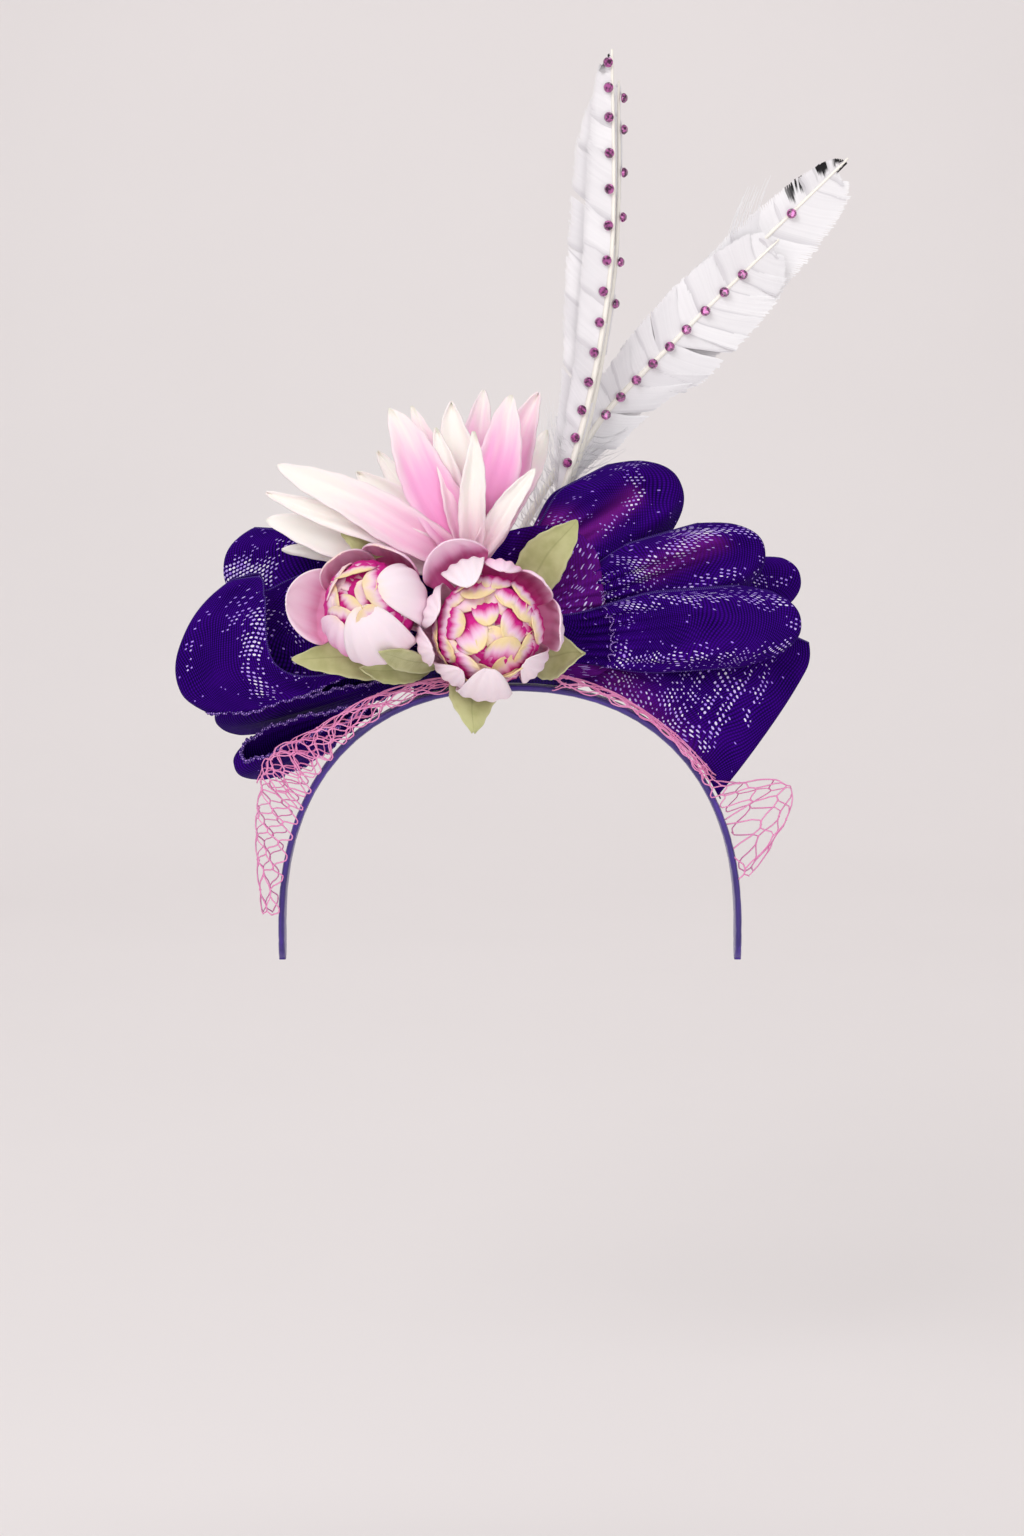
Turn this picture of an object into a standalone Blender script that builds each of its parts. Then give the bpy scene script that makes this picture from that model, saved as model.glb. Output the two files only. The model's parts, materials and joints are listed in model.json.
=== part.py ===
"""A racing fascinator on a headband: crin loops, silk flowers, leaves, jewelled feathers and veiling.

Lengths are written in millimetres and turned into metres where a mesh is made. +Z is up and the wearer
faces -Y, so +X is the right of the picture. The origin is the crown of the head, inside the headband.
"""

import math
from collections import namedtuple

import bmesh
import bpy
import numpy as np
from mathutils import Matrix, Vector

MM = 0.001
QUARTER = 90.0

# The head that the band fits, as a superellipse seen from the front
HEAD_HALF_WIDTH = 79.0
HEAD_RISE = 85.0
HEAD_SQUARENESS = 2.3

# The headband and the upright pad that everything is sewn to
BAND_WIDTH = 12.0
BAND_THICKNESS = 2.5
BAND_END_TURN = 100.0
BAND_END_DROP = 10.0
BAND_END_SHARE = 0.045
PAD_HALF_WIDTH = 29.0
PAD_HEIGHT = 43.0
PAD_THICKNESS = 3.0
PAD_CENTRE_X = -5.0
PAD_FULLNESS = 0.7
SEAT_GAP = 0.3

# Crin loops: the wall of the braid and how far each bow reaches from the pad's middle
CRIN_WALL = 1.0
RIGHT_BOW_REACH = 106.0
LEFT_BOW_REACH = 107.0
BOW_RISE = 70.0
BOW_DEPTH = 24.0
CRIN_WIDTH = 60.0
ROOT_PITCH = 3.0
LOOP_BACK_SHARE = 0.25
LOOP_MOUTH = 1.7
LOOP_BELLY = 1.3
LOOP_CORNER = 2.4
FOOT_LOOP_TURN = -32.0

# Flowers and leaves
PETAL_WALL = 1.0
LILY_LENGTH = 76.0
LILY_PETAL_WIDTH = 20.0
LILY_START_SHARE = 0.20
LILY_HEART_RADIUS = 6.0
LILY_FORWARD = 9.5
PEONY_RADIUS = 19.0
PEONY_FORWARD = 28.0
BUD_RADIUS = 16.5
BUD_FORWARD = 24.6
STEM_RADIUS = 3.0
STEM_STRAIGHT = 4.0
HEART_SHARE = 0.93
PETAL_SINK_SHARE = 0.84
PETAL_BACK_SHARE = 0.14
PETAL_FRONT_SHARE = 0.90
PETAL_CUPPING_SHARE = 0.05
INNER_PETAL_POLAR = 80.0
LEAF_LENGTH = 46.0
LEAF_WIDTH = 18.0
LEAF_WALL = 1.0
LEAF_START_SHARE = 0.04
LEAF_FOLD_SHARE = 0.22
BLADE_FULLNESS = 0.85
BLADE_POINT = 0.9

# Feathers and the stones glued along them
FEATHER_LENGTH = 200.0
VANE_WIDTH = 17.0
VANE_WALL = 0.9
VANE_START_SHARE = 0.28
VANE_SLANT_SHARE = 0.5
QUILL_RADIUS = 1.3
QUILL_TIP_SHARE = 0.60
QUILL_STEPS = 10
STONE_RADIUS = 1.8
STONE_HEIGHT = 1.5
STONE_TABLE_SHARE = 0.55
STONE_SEAT = 0.55

# Veiling gathered along the band
NET_STRAND = 0.9
NET_HEIGHT = 12.0
NET_DEPTH = 10.0
NET_FOOT = 1.7
NET_CELLS = 9

Loop = namedtuple("Loop", "name root tip root_width tip_width puff arch roll rounding skew lift fill")
Petal = namedtuple("Petal", "angle length width lean curl fold")
Cup = namedtuple("Cup", "azimuth start end radius width flare")
Leaf = namedtuple("Leaf", "name root tip width rise facing")
Feather = namedtuple("Feather", "name root low high tip left_turn right_turn left right")
Row = namedtuple("Row", "feather name count start end side aside")
NetRow = namedtuple("NetRow", "turn height front back")


def clear_scene():
    for obj in list(bpy.data.objects):
        bpy.data.objects.remove(obj, do_unlink=True)


def new_collection(name):
    collection = bpy.data.collections.new(name)
    bpy.context.scene.collection.children.link(collection)
    return collection


def new_material(name, colour, roughness, metallic=0.0):
    material = bpy.data.materials.new(name)
    material.use_nodes = True
    shader = material.node_tree.nodes["Principled BSDF"]
    shader.inputs["Base Color"].default_value = (*colour, 1.0)
    shader.inputs["Roughness"].default_value = roughness
    shader.inputs["Metallic"].default_value = metallic
    return material


def add_object(name, data, material, collection):
    obj = bpy.data.objects.new(name, data)
    collection.objects.link(obj)
    if material:
        data.materials.append(material)
    return obj


def smooth(x):
    x = min(max(x, 0.0), 1.0)
    return x * x * (3.0 - 2.0 * x)


def mix(a, b, share):
    return a + (b - a) * share


def curve_through(rows, share):
    """A Catmull-Rom value between rows of numbers, evenly spaced over shares 0 to 1."""
    rows = np.array(rows, float)
    place = min(max(share, 0.0), 1.0) * (len(rows) - 1)
    i = min(int(place), len(rows) - 2)
    t = place - i
    before, a, b = rows[max(i - 1, 0)], rows[i], rows[i + 1]
    after = rows[min(i + 2, len(rows) - 1)]
    bend = 2 * before - 5 * a + 4 * b - after
    return 0.5 * (2 * a + (b - before) * t + bend * t**2 + (3 * (a - b) + after - before) * t**3)


def frame_of(direction, facing):
    """Unit along, side and face vectors: face is as near to facing as the direction allows."""
    along = Vector(direction).normalized()
    face = Vector(facing) - along * along.dot(Vector(facing))
    face.normalize()
    return along, face.cross(along), face


def sheet(name, steps_u, steps_v, place, wall, material, collection):
    """An open grid laid by place(u, v), u from 0 to 1 and v from -1 to 1, thickened to a wall."""
    grid = bmesh.new()
    bmesh.ops.create_grid(grid, x_segments=steps_u, y_segments=steps_v, size=0.5)
    for vertex in grid.verts:
        vertex.co = Vector(place(vertex.co.x + 0.5, 2.0 * vertex.co.y)) * MM
    mesh = bpy.data.meshes.new(name)
    grid.to_mesh(mesh)
    grid.free()
    obj = add_object(name, mesh, material, collection)
    solid = obj.modifiers.new("wall", "SOLIDIFY")
    solid.thickness = wall * MM
    solid.offset = 0.0
    return obj


def evaluated_mesh(obj):
    graph = bpy.context.evaluated_depsgraph_get()
    mesh = bpy.data.meshes.new_from_object(obj.evaluated_get(graph))
    mesh.transform(obj.matrix_world)
    return mesh


def fill_pockets(mesh):
    """Take out the shells of pockets shut in between petals, whose faces look inwards."""
    whole = bmesh.new()
    whole.from_mesh(mesh)
    unseen = set(whole.faces)
    while unseen:
        shell, front = set(), [unseen.pop()]
        while front:
            face = front.pop()
            shell.add(face)
            joined = {other for edge in face.edges for other in edge.link_faces} & unseen
            unseen -= joined
            front.extend(joined)
        volume = sum(face.calc_center_median().dot(face.normal) * face.calc_area() for face in shell)
        if volume < 0.0:
            bmesh.ops.delete(whole, geom=list(shell), context="FACES")
    whole.to_mesh(mesh)
    whole.free()


def fuse(name, core, others, material, collection):
    """One closed body from a core and the pieces that grow out of it."""
    joined = bmesh.new()
    bpy.context.view_layer.update()
    for other in others:
        joined.from_mesh(evaluated_mesh(other))
    bmesh.ops.remove_doubles(joined, verts=joined.verts, dist=1e-7)
    mesh = bpy.data.meshes.new(name + "_pieces")
    joined.to_mesh(mesh)
    joined.free()
    pieces = add_object(name + "_pieces", mesh, None, collection)
    union = core.modifiers.new("union", "BOOLEAN")
    union.operation = "UNION"
    union.object = pieces
    union.use_self = True
    bpy.context.view_layer.update()
    whole = evaluated_mesh(core)
    whole.materials.clear()
    fill_pockets(whole)
    for spare in [core, pieces, *others]:
        bpy.data.objects.remove(spare, do_unlink=True)
    return add_object(name, whole, material, collection)


def tube(name, points, radius, tip_share, sides_step, material, collection):
    """A closed mesh tube through points, its radius tapering to tip_share of the first."""
    curve = bpy.data.curves.new(name, "CURVE")
    curve.dimensions = "3D"
    curve.bevel_depth = radius * MM
    curve.bevel_resolution = sides_step
    curve.use_fill_caps = True
    line = curve.splines.new("POLY")
    line.points.add(len(points) - 1)
    for i, point in enumerate(points):
        line.points[i].co = (*(Vector(point) * MM), 1.0)
        line.points[i].radius = mix(1.0, tip_share, i / (len(points) - 1))
    bent = add_object(name + "_curve", curve, None, collection)
    bpy.context.view_layer.update()
    welded = bmesh.new()
    welded.from_mesh(evaluated_mesh(bent))
    bmesh.ops.remove_doubles(welded, verts=welded.verts, dist=1e-6)
    mesh = bpy.data.meshes.new(name)
    welded.to_mesh(mesh)
    welded.free()
    bpy.data.objects.remove(bent, do_unlink=True)
    return add_object(name, mesh, material, collection)


def arch_point(turn, away, y):
    """A point off the head's outline: turn in degrees from the crown, away from the head, at depth y."""
    angle = math.radians(min(max(turn, -QUARTER), QUARTER))
    past = max(abs(turn) - QUARTER, 0.0) / (BAND_END_TURN - QUARTER)
    power = 2.0 / HEAD_SQUARENESS
    x = math.copysign(abs(math.sin(angle)) ** power, angle) * (HEAD_HALF_WIDTH + away)
    z = abs(math.cos(angle)) ** power * (HEAD_RISE + away) - HEAD_RISE - past * BAND_END_DROP
    return Vector((x, y, z))


def off_the_head(point, away):
    """The point itself, or pushed straight out to a distance from the head if it lies nearer."""
    half, rise = HEAD_HALF_WIDTH + away, HEAD_RISE + away
    height = max(point.z + HEAD_RISE, 0.0)
    level = (abs(point.x) / half) ** HEAD_SQUARENESS + (height / rise) ** HEAD_SQUARENESS
    if level >= 1.0 or level == 0.0:
        return point
    grow = level ** (-1.0 / HEAD_SQUARENESS)
    return Vector((point.x * grow, point.y, height * grow - HEAD_RISE))


def pad_seat(across, up, layer):
    """A place by the pad: shares across and up it, and layers behind (over 0) or before it (under 0)."""
    x = PAD_CENTRE_X + across * PAD_HALF_WIDTH
    z = BAND_THICKNESS + SEAT_GAP + up * PAD_HEIGHT
    if layer == 0:
        return Vector((x, 0.0, z))
    first = PAD_THICKNESS / 2.0 + SEAT_GAP + CRIN_WALL + SEAT_GAP / 2.0
    return Vector((x, math.copysign(first + (abs(layer) - 1) * ROOT_PITCH, layer), z))


def peony_centre():
    return pad_seat(-0.08, 0.48, 0) + Vector((0.0, -PEONY_FORWARD, 0.0))


def bud_centre():
    return pad_seat(-1.45, 0.64, 0) + Vector((0.0, -BUD_FORWARD, 0.0))


def make_headband(material, collection):
    blunt = 0.35

    def place(u, v):
        from_end = min(u, 1.0 - u) / BAND_END_SHARE
        half = BAND_WIDTH / 2.0 * max(math.sqrt(1.0 - max(1.0 - from_end, 0.0) ** 2), blunt)
        return arch_point(mix(-BAND_END_TURN, BAND_END_TURN, u), BAND_THICKNESS / 2.0, v * half)

    return sheet("headband", 24, 2, place, BAND_THICKNESS, material, collection)


def make_pad(material, collection):
    """A half-oval standing on the band's crown, its foot following the band."""
    steps = 8
    outline = []
    for i in range(steps + 1):
        x = PAD_CENTRE_X + mix(-1.0, 1.0, i / steps) * (PAD_HALF_WIDTH - SEAT_GAP)
        level = 1.0 - (abs(x) / (HEAD_HALF_WIDTH + BAND_THICKNESS)) ** HEAD_SQUARENESS
        band_top = level ** (1.0 / HEAD_SQUARENESS) * (HEAD_RISE + BAND_THICKNESS) - HEAD_RISE
        outline.append((x, band_top + SEAT_GAP))
    for i in range(1, 2 * steps):
        angle = math.pi * i / (2 * steps)
        rise = math.sin(angle) ** PAD_FULLNESS
        outline.append((PAD_CENTRE_X + math.cos(angle) * PAD_HALF_WIDTH, BAND_THICKNESS + rise * PAD_HEIGHT))
    curve = bpy.data.curves.new("base_pad", "CURVE")
    curve.dimensions = "2D"
    curve.fill_mode = "BOTH"
    curve.extrude = PAD_THICKNESS / 2.0 * MM
    line = curve.splines.new("POLY")
    line.points.add(len(outline) - 1)
    for i, (x, z) in enumerate(outline):
        line.points[i].co = (x * MM, z * MM, 0.0, 1.0)
    line.use_cyclic_u = True
    obj = add_object("base_pad", curve, material, collection)
    obj.rotation_euler = (math.pi / 2.0, 0.0, 0.0)
    return obj


def crin_loop(loop, steps_u, steps_v, material, collection):
    """A ribbon of braid that runs out from its root, turns over at the tip and comes back behind itself."""
    along, side, face = frame_of(loop.tip - loop.root, (0.0, -1.0, 0.0))
    if side.z < 0:
        side = -side
    turn = Matrix.Rotation(math.radians(loop.roll), 3, along)
    side, face = turn @ side, turn @ face
    length = (loop.tip - loop.root).length
    half_gap = CRIN_WALL / 2.0 + SEAT_GAP / 2.0

    def place(u, v):
        out = (1.0 - math.cos(2.0 * math.pi * u)) / 2.0
        back = smooth(2.0 * u - 0.5)
        opened = smooth(out * LOOP_MOUTH)
        swing = math.sin(2.0 * math.pi * u)
        apart = math.copysign(half_gap * (1.0 - out), 0.5 - u)
        apart += math.copysign(LOOP_BELLY * loop.puff * abs(swing) ** 0.8 * out**0.6, swing)
        reach = length * out * (1.0 - loop.rounding * abs(v) ** LOOP_CORNER + loop.skew * v)
        width = mix(loop.root_width, loop.tip_width, smooth(out * loop.fill)) / 2.0
        hollow = loop.arch * v * v * opened * mix(1.0, LOOP_BACK_SHARE, back)
        raised = loop.lift * smooth(2.0 * u - 1.0)
        point = loop.root + along * reach + side * (v * width + raised) + face * (apart - hollow)
        return off_the_head(point, BAND_THICKNESS + SEAT_GAP + CRIN_WALL)

    return sheet(loop.name, steps_u, steps_v, place, CRIN_WALL, material, collection)


def bow_loops():
    """The loops of both bows: tips as shares of the bow's reach, depth and rise, widths of the braid's."""

    def tip(side, x, y, z):
        reach = RIGHT_BOW_REACH if side > 0 else LEFT_BOW_REACH
        return Vector((side * x * reach, y * BOW_DEPTH, z * BOW_RISE))

    def on_band(turn, y):
        return arch_point(turn, BAND_THICKNESS + 2.0 * SEAT_GAP + 1.5 * CRIN_WALL, y)

    wide = CRIN_WIDTH
    return (
        Loop("loop_right_top", pad_seat(0.44, 0.97, 1), tip(1, 0.57, 1.23, 1.01),
             0.28 * wide, 0.60 * wide, 6.0, 8.0, 0.0, 0.28, 0.03, 0.0, 1.8),
        Loop("loop_right_upper", pad_seat(0.86, 0.60, 1), tip(1, 0.84, 0.20, 0.69),
             0.30 * wide, 0.52 * wide, 6.0, 7.0, 0.0, 0.26, 0.04, 0.0, 1.8),
        Loop("loop_right_middle", pad_seat(0.84, 0.36, -1), tip(1, 0.94, -0.84, 0.36),
             0.28 * wide, 0.46 * wide, 5.5, 5.0, 0.0, 0.20, 0.00, 0.0, 1.8),
        Loop("loop_right_back", pad_seat(0.80, 0.42, 2), tip(1, 0.98, 1.34, 0.54),
             0.20 * wide, 0.34 * wide, 3.5, 2.0, 0.0, 0.10, 0.00, 0.0, 1.4),
        Loop("loop_right_lower", pad_seat(1.05, 0.18, 1), tip(1, 0.83, -0.08, -0.24),
             0.20 * wide, 1.24 * wide, 4.5, 3.0, 0.0, 0.04, 0.11, 0.0, 1.2),
        Loop("loop_left_top", pad_seat(-0.60, 0.80, 1), tip(-1, 0.95, 1.12, 0.60),
             0.24 * wide, 0.60 * wide, 6.0, 5.0, 0.0, 0.20, 0.00, 0.0, 1.5),
        Loop("loop_left_main", pad_seat(-0.98, 0.30, 1), tip(-1, 1.06, -0.28, 0.27),
             0.20 * wide, 0.86 * wide, 6.5, 6.0, 0.0, 0.18, -0.12, 6.0, 1.1),
        Loop("loop_left_lower", pad_seat(-0.96, 0.06, 2), tip(-1, 0.97, 0.98, -0.21),
             0.16 * wide, 0.42 * wide, 5.0, 1.0, -56.0, 0.08, 0.00, 0.0, 1.4),
        Loop("loop_left_foot", on_band(FOOT_LOOP_TURN, 0.25 * BAND_WIDTH), tip(-1, 0.89, 0.78, -0.455),
             0.14 * wide, 0.40 * wide, 5.0, 1.0, -56.0, 0.08, 0.00, 0.0, 1.4),
    )


def blade_place(root, tip, width, facing, curl, fold, start):
    """place(u, v) of a pointed petal or leaf: curl lifts its middle and fold its edges, along the face."""
    along, side, face = frame_of(tip - root, facing)
    length = (tip - root).length

    def place(u, v):
        half = max(width * math.sin(math.pi * mix(start, 1.0, u)) ** BLADE_FULLNESS, BLADE_POINT) / 2.0
        lift = curl * math.sin(math.pi * u) + fold * half * abs(v)
        return root + along * (length * u) + side * (v * half) + face * lift

    return place


def lily_petals():
    """Petals as seen from the front: angle, shares of length and width, lean backwards, curl and fold."""
    return (
        Petal(151.5, 1.00, 0.98, -10.0, 0.07, 0.30),
        Petal(160.5, 0.99, 0.60, -3.0, 0.09, 0.50),
        Petal(168.5, 0.97, 1.00, 6.0, 0.02, 0.25),
        Petal(175.5, 0.90, 0.55, 13.0, 0.02, 0.30),
        Petal(131.0, 0.72, 0.90, 20.0, 0.05, 0.25),
        Petal(118.0, 0.81, 1.00, -8.0, 0.06, 0.30),
        Petal(110.5, 0.78, 0.60, 9.0, 0.05, 0.45),
        Petal(97.0, 0.75, 0.92, 2.0, 0.07, 0.30),
        Petal(87.0, 0.86, 0.80, 22.0, 0.06, 0.30),
        Petal(89.0, 0.66, 0.62, -22.0, 0.06, 0.50),
        Petal(76.0, 0.79, 1.00, 0.0, 0.06, 0.30),
        Petal(69.0, 0.86, 0.85, 12.0, -0.06, 0.35),
        Petal(57.5, 0.53, 0.62, -16.0, 0.08, 0.45),
        Petal(60.0, 0.80, 0.75, 30.0, 0.05, 0.30),
    )


def make_lily(material, collection):
    heart_at = pad_seat(-0.28, 0.96, 0) + Vector((0.0, -LILY_FORWARD, 0.0))
    petals = []
    for i, row in enumerate(lily_petals()):
        angle, lean = math.radians(row.angle), math.radians(row.lean)
        way = Vector((math.cos(angle) * math.cos(lean), math.sin(lean), math.sin(angle) * math.cos(lean)))
        length = row.length * LILY_LENGTH
        place = blade_place(
            heart_at + way * (LILY_HEART_RADIUS * 0.5), heart_at + way * length,
            row.width * LILY_PETAL_WIDTH, (0.0, -1.0, 0.15), row.curl * length, row.fold, LILY_START_SHARE,
        )
        petals.append(sheet(f"lily_petal_{i}", 4, 2, place, PETAL_WALL, None, collection))
    heart = ball("lily_heart", heart_at, LILY_HEART_RADIUS, 8, 6, collection)
    petals.append(stem("lily_stem", heart_at, pad_seat(-0.25, 0.80, 0), collection))
    return fuse("lily", heart, petals, material, collection)


def ball(name, centre, radius, around, rings, collection):
    grown = bmesh.new()
    bmesh.ops.create_uvsphere(grown, u_segments=around, v_segments=rings, radius=radius * MM)
    bmesh.ops.transform(grown, matrix=Matrix.Rotation(math.pi / 2.0, 4, "X"), verts=grown.verts)
    bmesh.ops.translate(grown, vec=Vector(centre) * MM, verts=grown.verts)
    mesh = bpy.data.meshes.new(name)
    grown.to_mesh(mesh)
    grown.free()
    return add_object(name, mesh, None, collection)


def stem(name, start, seat, collection):
    """A stalk from a flower's heart that meets the pad's front squarely."""
    end = Vector((seat.x, -(PAD_THICKNESS / 2.0 + SEAT_GAP), seat.z))
    points = [start, end - Vector((0.0, STEM_STRAIGHT, 0.0)), end]
    return tube(name, points, STEM_RADIUS, 1.0, 1, None, collection)


def cup_place(centre, facing, radius, cup):
    """place(u, v) of a cupped petal that hugs a ball, from near its back pole towards its front."""
    axis = Vector(facing).normalized()
    across = Vector((0.0, 0.0, 1.0)).cross(axis).normalized()
    upward = axis.cross(across)
    azimuth = math.radians(cup.azimuth)
    outward = across * math.cos(azimuth) + upward * math.sin(azimuth)
    sideways = axis.cross(outward)

    def place(u, v):
        polar = math.radians(mix(cup.start, cup.end, u))
        shape = math.sin(math.pi * mix(PETAL_BACK_SHARE, PETAL_FRONT_SHARE, u)) ** 0.6
        reach = radius * (mix(PETAL_SINK_SHARE, cup.radius, smooth(u * 3.0)) + cup.flare * u * u)
        way = outward * math.sin(polar) - axis * math.cos(polar) + sideways * (v * cup.width * shape)
        return centre + way.normalized() * (reach * (1.0 - PETAL_CUPPING_SHARE * (1.0 - v * v) * u))

    return place


def open_peony_cups():
    """Outer petals in two rings, then the tight petals of the open heart."""
    outer = (
        Cup(118.0, 52, 142, 1.22, 0.70, 0.10), Cup(90.0, 46, 132, 1.36, 0.50, 0.06),
        Cup(58.0, 46, 124, 1.10, 0.64, 0.20), Cup(12.0, 46, 124, 1.22, 0.74, 0.18),
        Cup(-42.0, 46, 122, 1.10, 0.56, 0.16), Cup(-94.0, 46, 132, 1.24, 0.72, 0.18),
        Cup(-138.0, 46, 118, 1.10, 0.56, 0.14), Cup(172.0, 46, 130, 1.16, 0.60, 0.02),
    )
    inner = tuple(Cup(24.0 + 60.0 * i, 96, 140, 1.01, 0.42, 0.04) for i in range(6))
    heart = tuple(Cup(50.0 + 120.0 * i, 136, 170, 1.01, 0.34, 0.02) for i in range(3))
    return outer + inner + heart


def closed_peony_cups():
    """The half-open bloom: wrapped petals, with one fallen open to the left."""
    return (
        Cup(176.0, 56, 112, 1.42, 0.80, 0.40), Cup(125.0, 44, 138, 1.16, 0.80, 0.05),
        Cup(60.0, 44, 142, 1.06, 0.85, 0.02), Cup(0.0, 44, 146, 1.10, 0.80, -0.04),
        Cup(-55.0, 44, 150, 1.16, 0.90, 0.00), Cup(-118.0, 44, 148, 1.06, 0.85, 0.02),
        Cup(150.0, 104, 162, 1.04, 0.46, 0.04), Cup(40.0, 108, 164, 1.02, 0.46, 0.04),
    )


def make_peony(name, centre, facing, radius, cups, seat, material, collection):
    heart = ball(name + "_heart", centre, radius * HEART_SHARE, 10, 6, collection)
    petals = []
    for i, cup in enumerate(cups):
        steps = 4 if cup.start < INNER_PETAL_POLAR else 3
        place = cup_place(centre, facing, radius, cup)
        petals.append(sheet(f"{name}_petal_{i}", steps, 2, place, PETAL_WALL, None, collection))
    petals.append(stem(name + "_stem", centre, seat, collection))
    return fuse(name, heart, petals, material, collection)


def leaves():
    """Leaves rise from the pad's front, but for one tucked behind the half-open bloom."""

    def on_pad(across, up):
        return pad_seat(across, up, 0) - Vector((0.0, PAD_THICKNESS / 2.0 + SEAT_GAP + 0.6 * LEAF_WALL, 0.0))

    bud_top = bud_centre() + Vector((0.30, 0.68, 1.12)) * BUD_RADIUS
    ahead = (0.0, -1.0, 0.0)
    return (
        Leaf("leaf_far_left", on_pad(-0.86, 0.18), (-0.98, -0.34, 0.06), 0.80, 0.02, ahead),
        Leaf("leaf_under_left", on_pad(-0.80, 0.11), (-0.50, -0.44, 0.04), 0.56, 0.06, ahead),
        Leaf("leaf_between", on_pad(-0.60, 0.16), (-0.48, -0.88, 0.155), 0.60, 0.02, (0.6, -0.3, -0.8)),
        Leaf("leaf_bottom", on_pad(-0.20, 0.14), (-0.06, -0.54, -0.46), 0.98, 0.12, ahead),
        Leaf("leaf_right", on_pad(0.36, 0.22), (0.42, -0.44, 0.05), 0.90, 0.05, ahead),
        Leaf("leaf_top_right", on_pad(0.24, 0.66), (0.44, -0.28, 0.64), 0.90, 0.04, ahead),
        Leaf("leaf_top_left", bud_top, (-0.34, -0.08, 0.16), 0.55, 0.03, ahead),
    )


def make_leaf(leaf, material, collection):
    reach = Vector(leaf.tip) * LEAF_LENGTH
    place = blade_place(
        leaf.root, leaf.root + reach, leaf.width * LEAF_WIDTH, leaf.facing,
        leaf.rise * reach.length, LEAF_FOLD_SHARE, LEAF_START_SHARE,
    )
    return sheet(leaf.name, 6, 2, place, LEAF_WALL, material, collection)


def feathers():
    """Two goose feathers back to back stand upright and two lean to the right. Points are lengths' shares."""

    def root(across, up):
        return pad_seat(across, up, 0) + Vector((0.0, PAD_THICKNESS / 2.0 + SEAT_GAP + QUILL_RADIUS, 0.0))

    def at(x, y, z):
        return Vector((x, y, z)) * FEATHER_LENGTH

    return (
        Feather("feather_upright_front", root(0.06, 0.50), at(0.105, 0.135, 0.375), at(0.176, 0.110, 0.725),
                at(0.177, 0.075, 1.11), -18.0, 62.0, 0.62, 0.22),
        Feather("feather_upright_back", root(-0.12, 0.50), at(0.112, 0.160, 0.375), at(0.184, 0.138, 0.725),
                at(0.190, 0.110, 1.06), -6.0, 68.0, 1.02, 0.20),
        Feather("feather_leaning_front", root(0.34, 0.42), at(0.132, 0.216, 0.420), at(0.300, 0.215, 0.615),
                at(0.480, 0.205, 0.790), 6.0, 6.0, 0.80, 1.06),
        Feather("feather_leaning_back", root(-0.30, 0.42), at(0.110, 0.230, 0.420), at(0.340, 0.245, 0.675),
                at(0.605, 0.235, 0.935), 4.0, 4.0, 0.60, 1.06),
    )


def quill_point(feather, share):
    return Vector(curve_through([feather.root, feather.low, feather.high, feather.tip], share))


def vane_ways(feather, share):
    """Unit vectors from the quill out along the left and right vane, and the way the quill runs."""
    along = (quill_point(feather, share + 0.01) - quill_point(feather, share - 0.01)).normalized()
    across = Vector((0.0, 1.0, 0.0)).cross(along).normalized()
    left = Matrix.Rotation(math.radians(feather.left_turn), 3, along) @ -across
    right = Matrix.Rotation(math.radians(feather.right_turn), 3, along) @ across
    return left, right, along


def vane_half(share):
    """The vane's half width as a share of its widest: bare quill, slow swell, then a rounded point."""
    grown = smooth((share - VANE_START_SHARE) / 0.12)
    swell = mix(0.62, 1.0, smooth((share - 0.36) / 0.32))
    tip = math.sqrt(max(1.0 - max((share - 0.72) / 0.28, 0.0) ** 2, 0.0))
    return grown * swell * tip


def make_feather(feather, material, collection):
    def place(u, v):
        share = mix(VANE_START_SHARE, 1.0, u)
        left, right, along = vane_ways(feather, min(share, 0.99))
        width = max(vane_half(share) * VANE_WIDTH, 0.8)
        side = left * (feather.left * width * -v) if v < 0 else right * (feather.right * width * v)
        return quill_point(feather, share) + side + along * (abs(v) * width * VANE_SLANT_SHARE * (1.0 - u))

    vane = sheet(feather.name + "_vane", 9, 4, place, VANE_WALL, None, collection)
    points = [quill_point(feather, i / QUILL_STEPS) for i in range(QUILL_STEPS + 1)]
    quill = tube(feather.name + "_quill", points, QUILL_RADIUS, QUILL_TIP_SHARE, 0, None, collection)
    return fuse(feather.name, quill, [vane], material, collection)


def stone_rows():
    """Rows of stones: the feather, how many, from and to which shares of its quill, vane and mm aside."""
    return (
        Row(0, "stone_upright", 14, 0.35, 0.975, -1, 1.0),
        Row(1, "stone_behind", 6, 0.62, 0.96, 1, 0.4),
        Row(2, "stone_leaning", 9, 0.42, 0.86, -1, 0.0),
        Row(3, "stone_tip", 1, 0.855, 0.855, -1, 0.0),
    )


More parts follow.
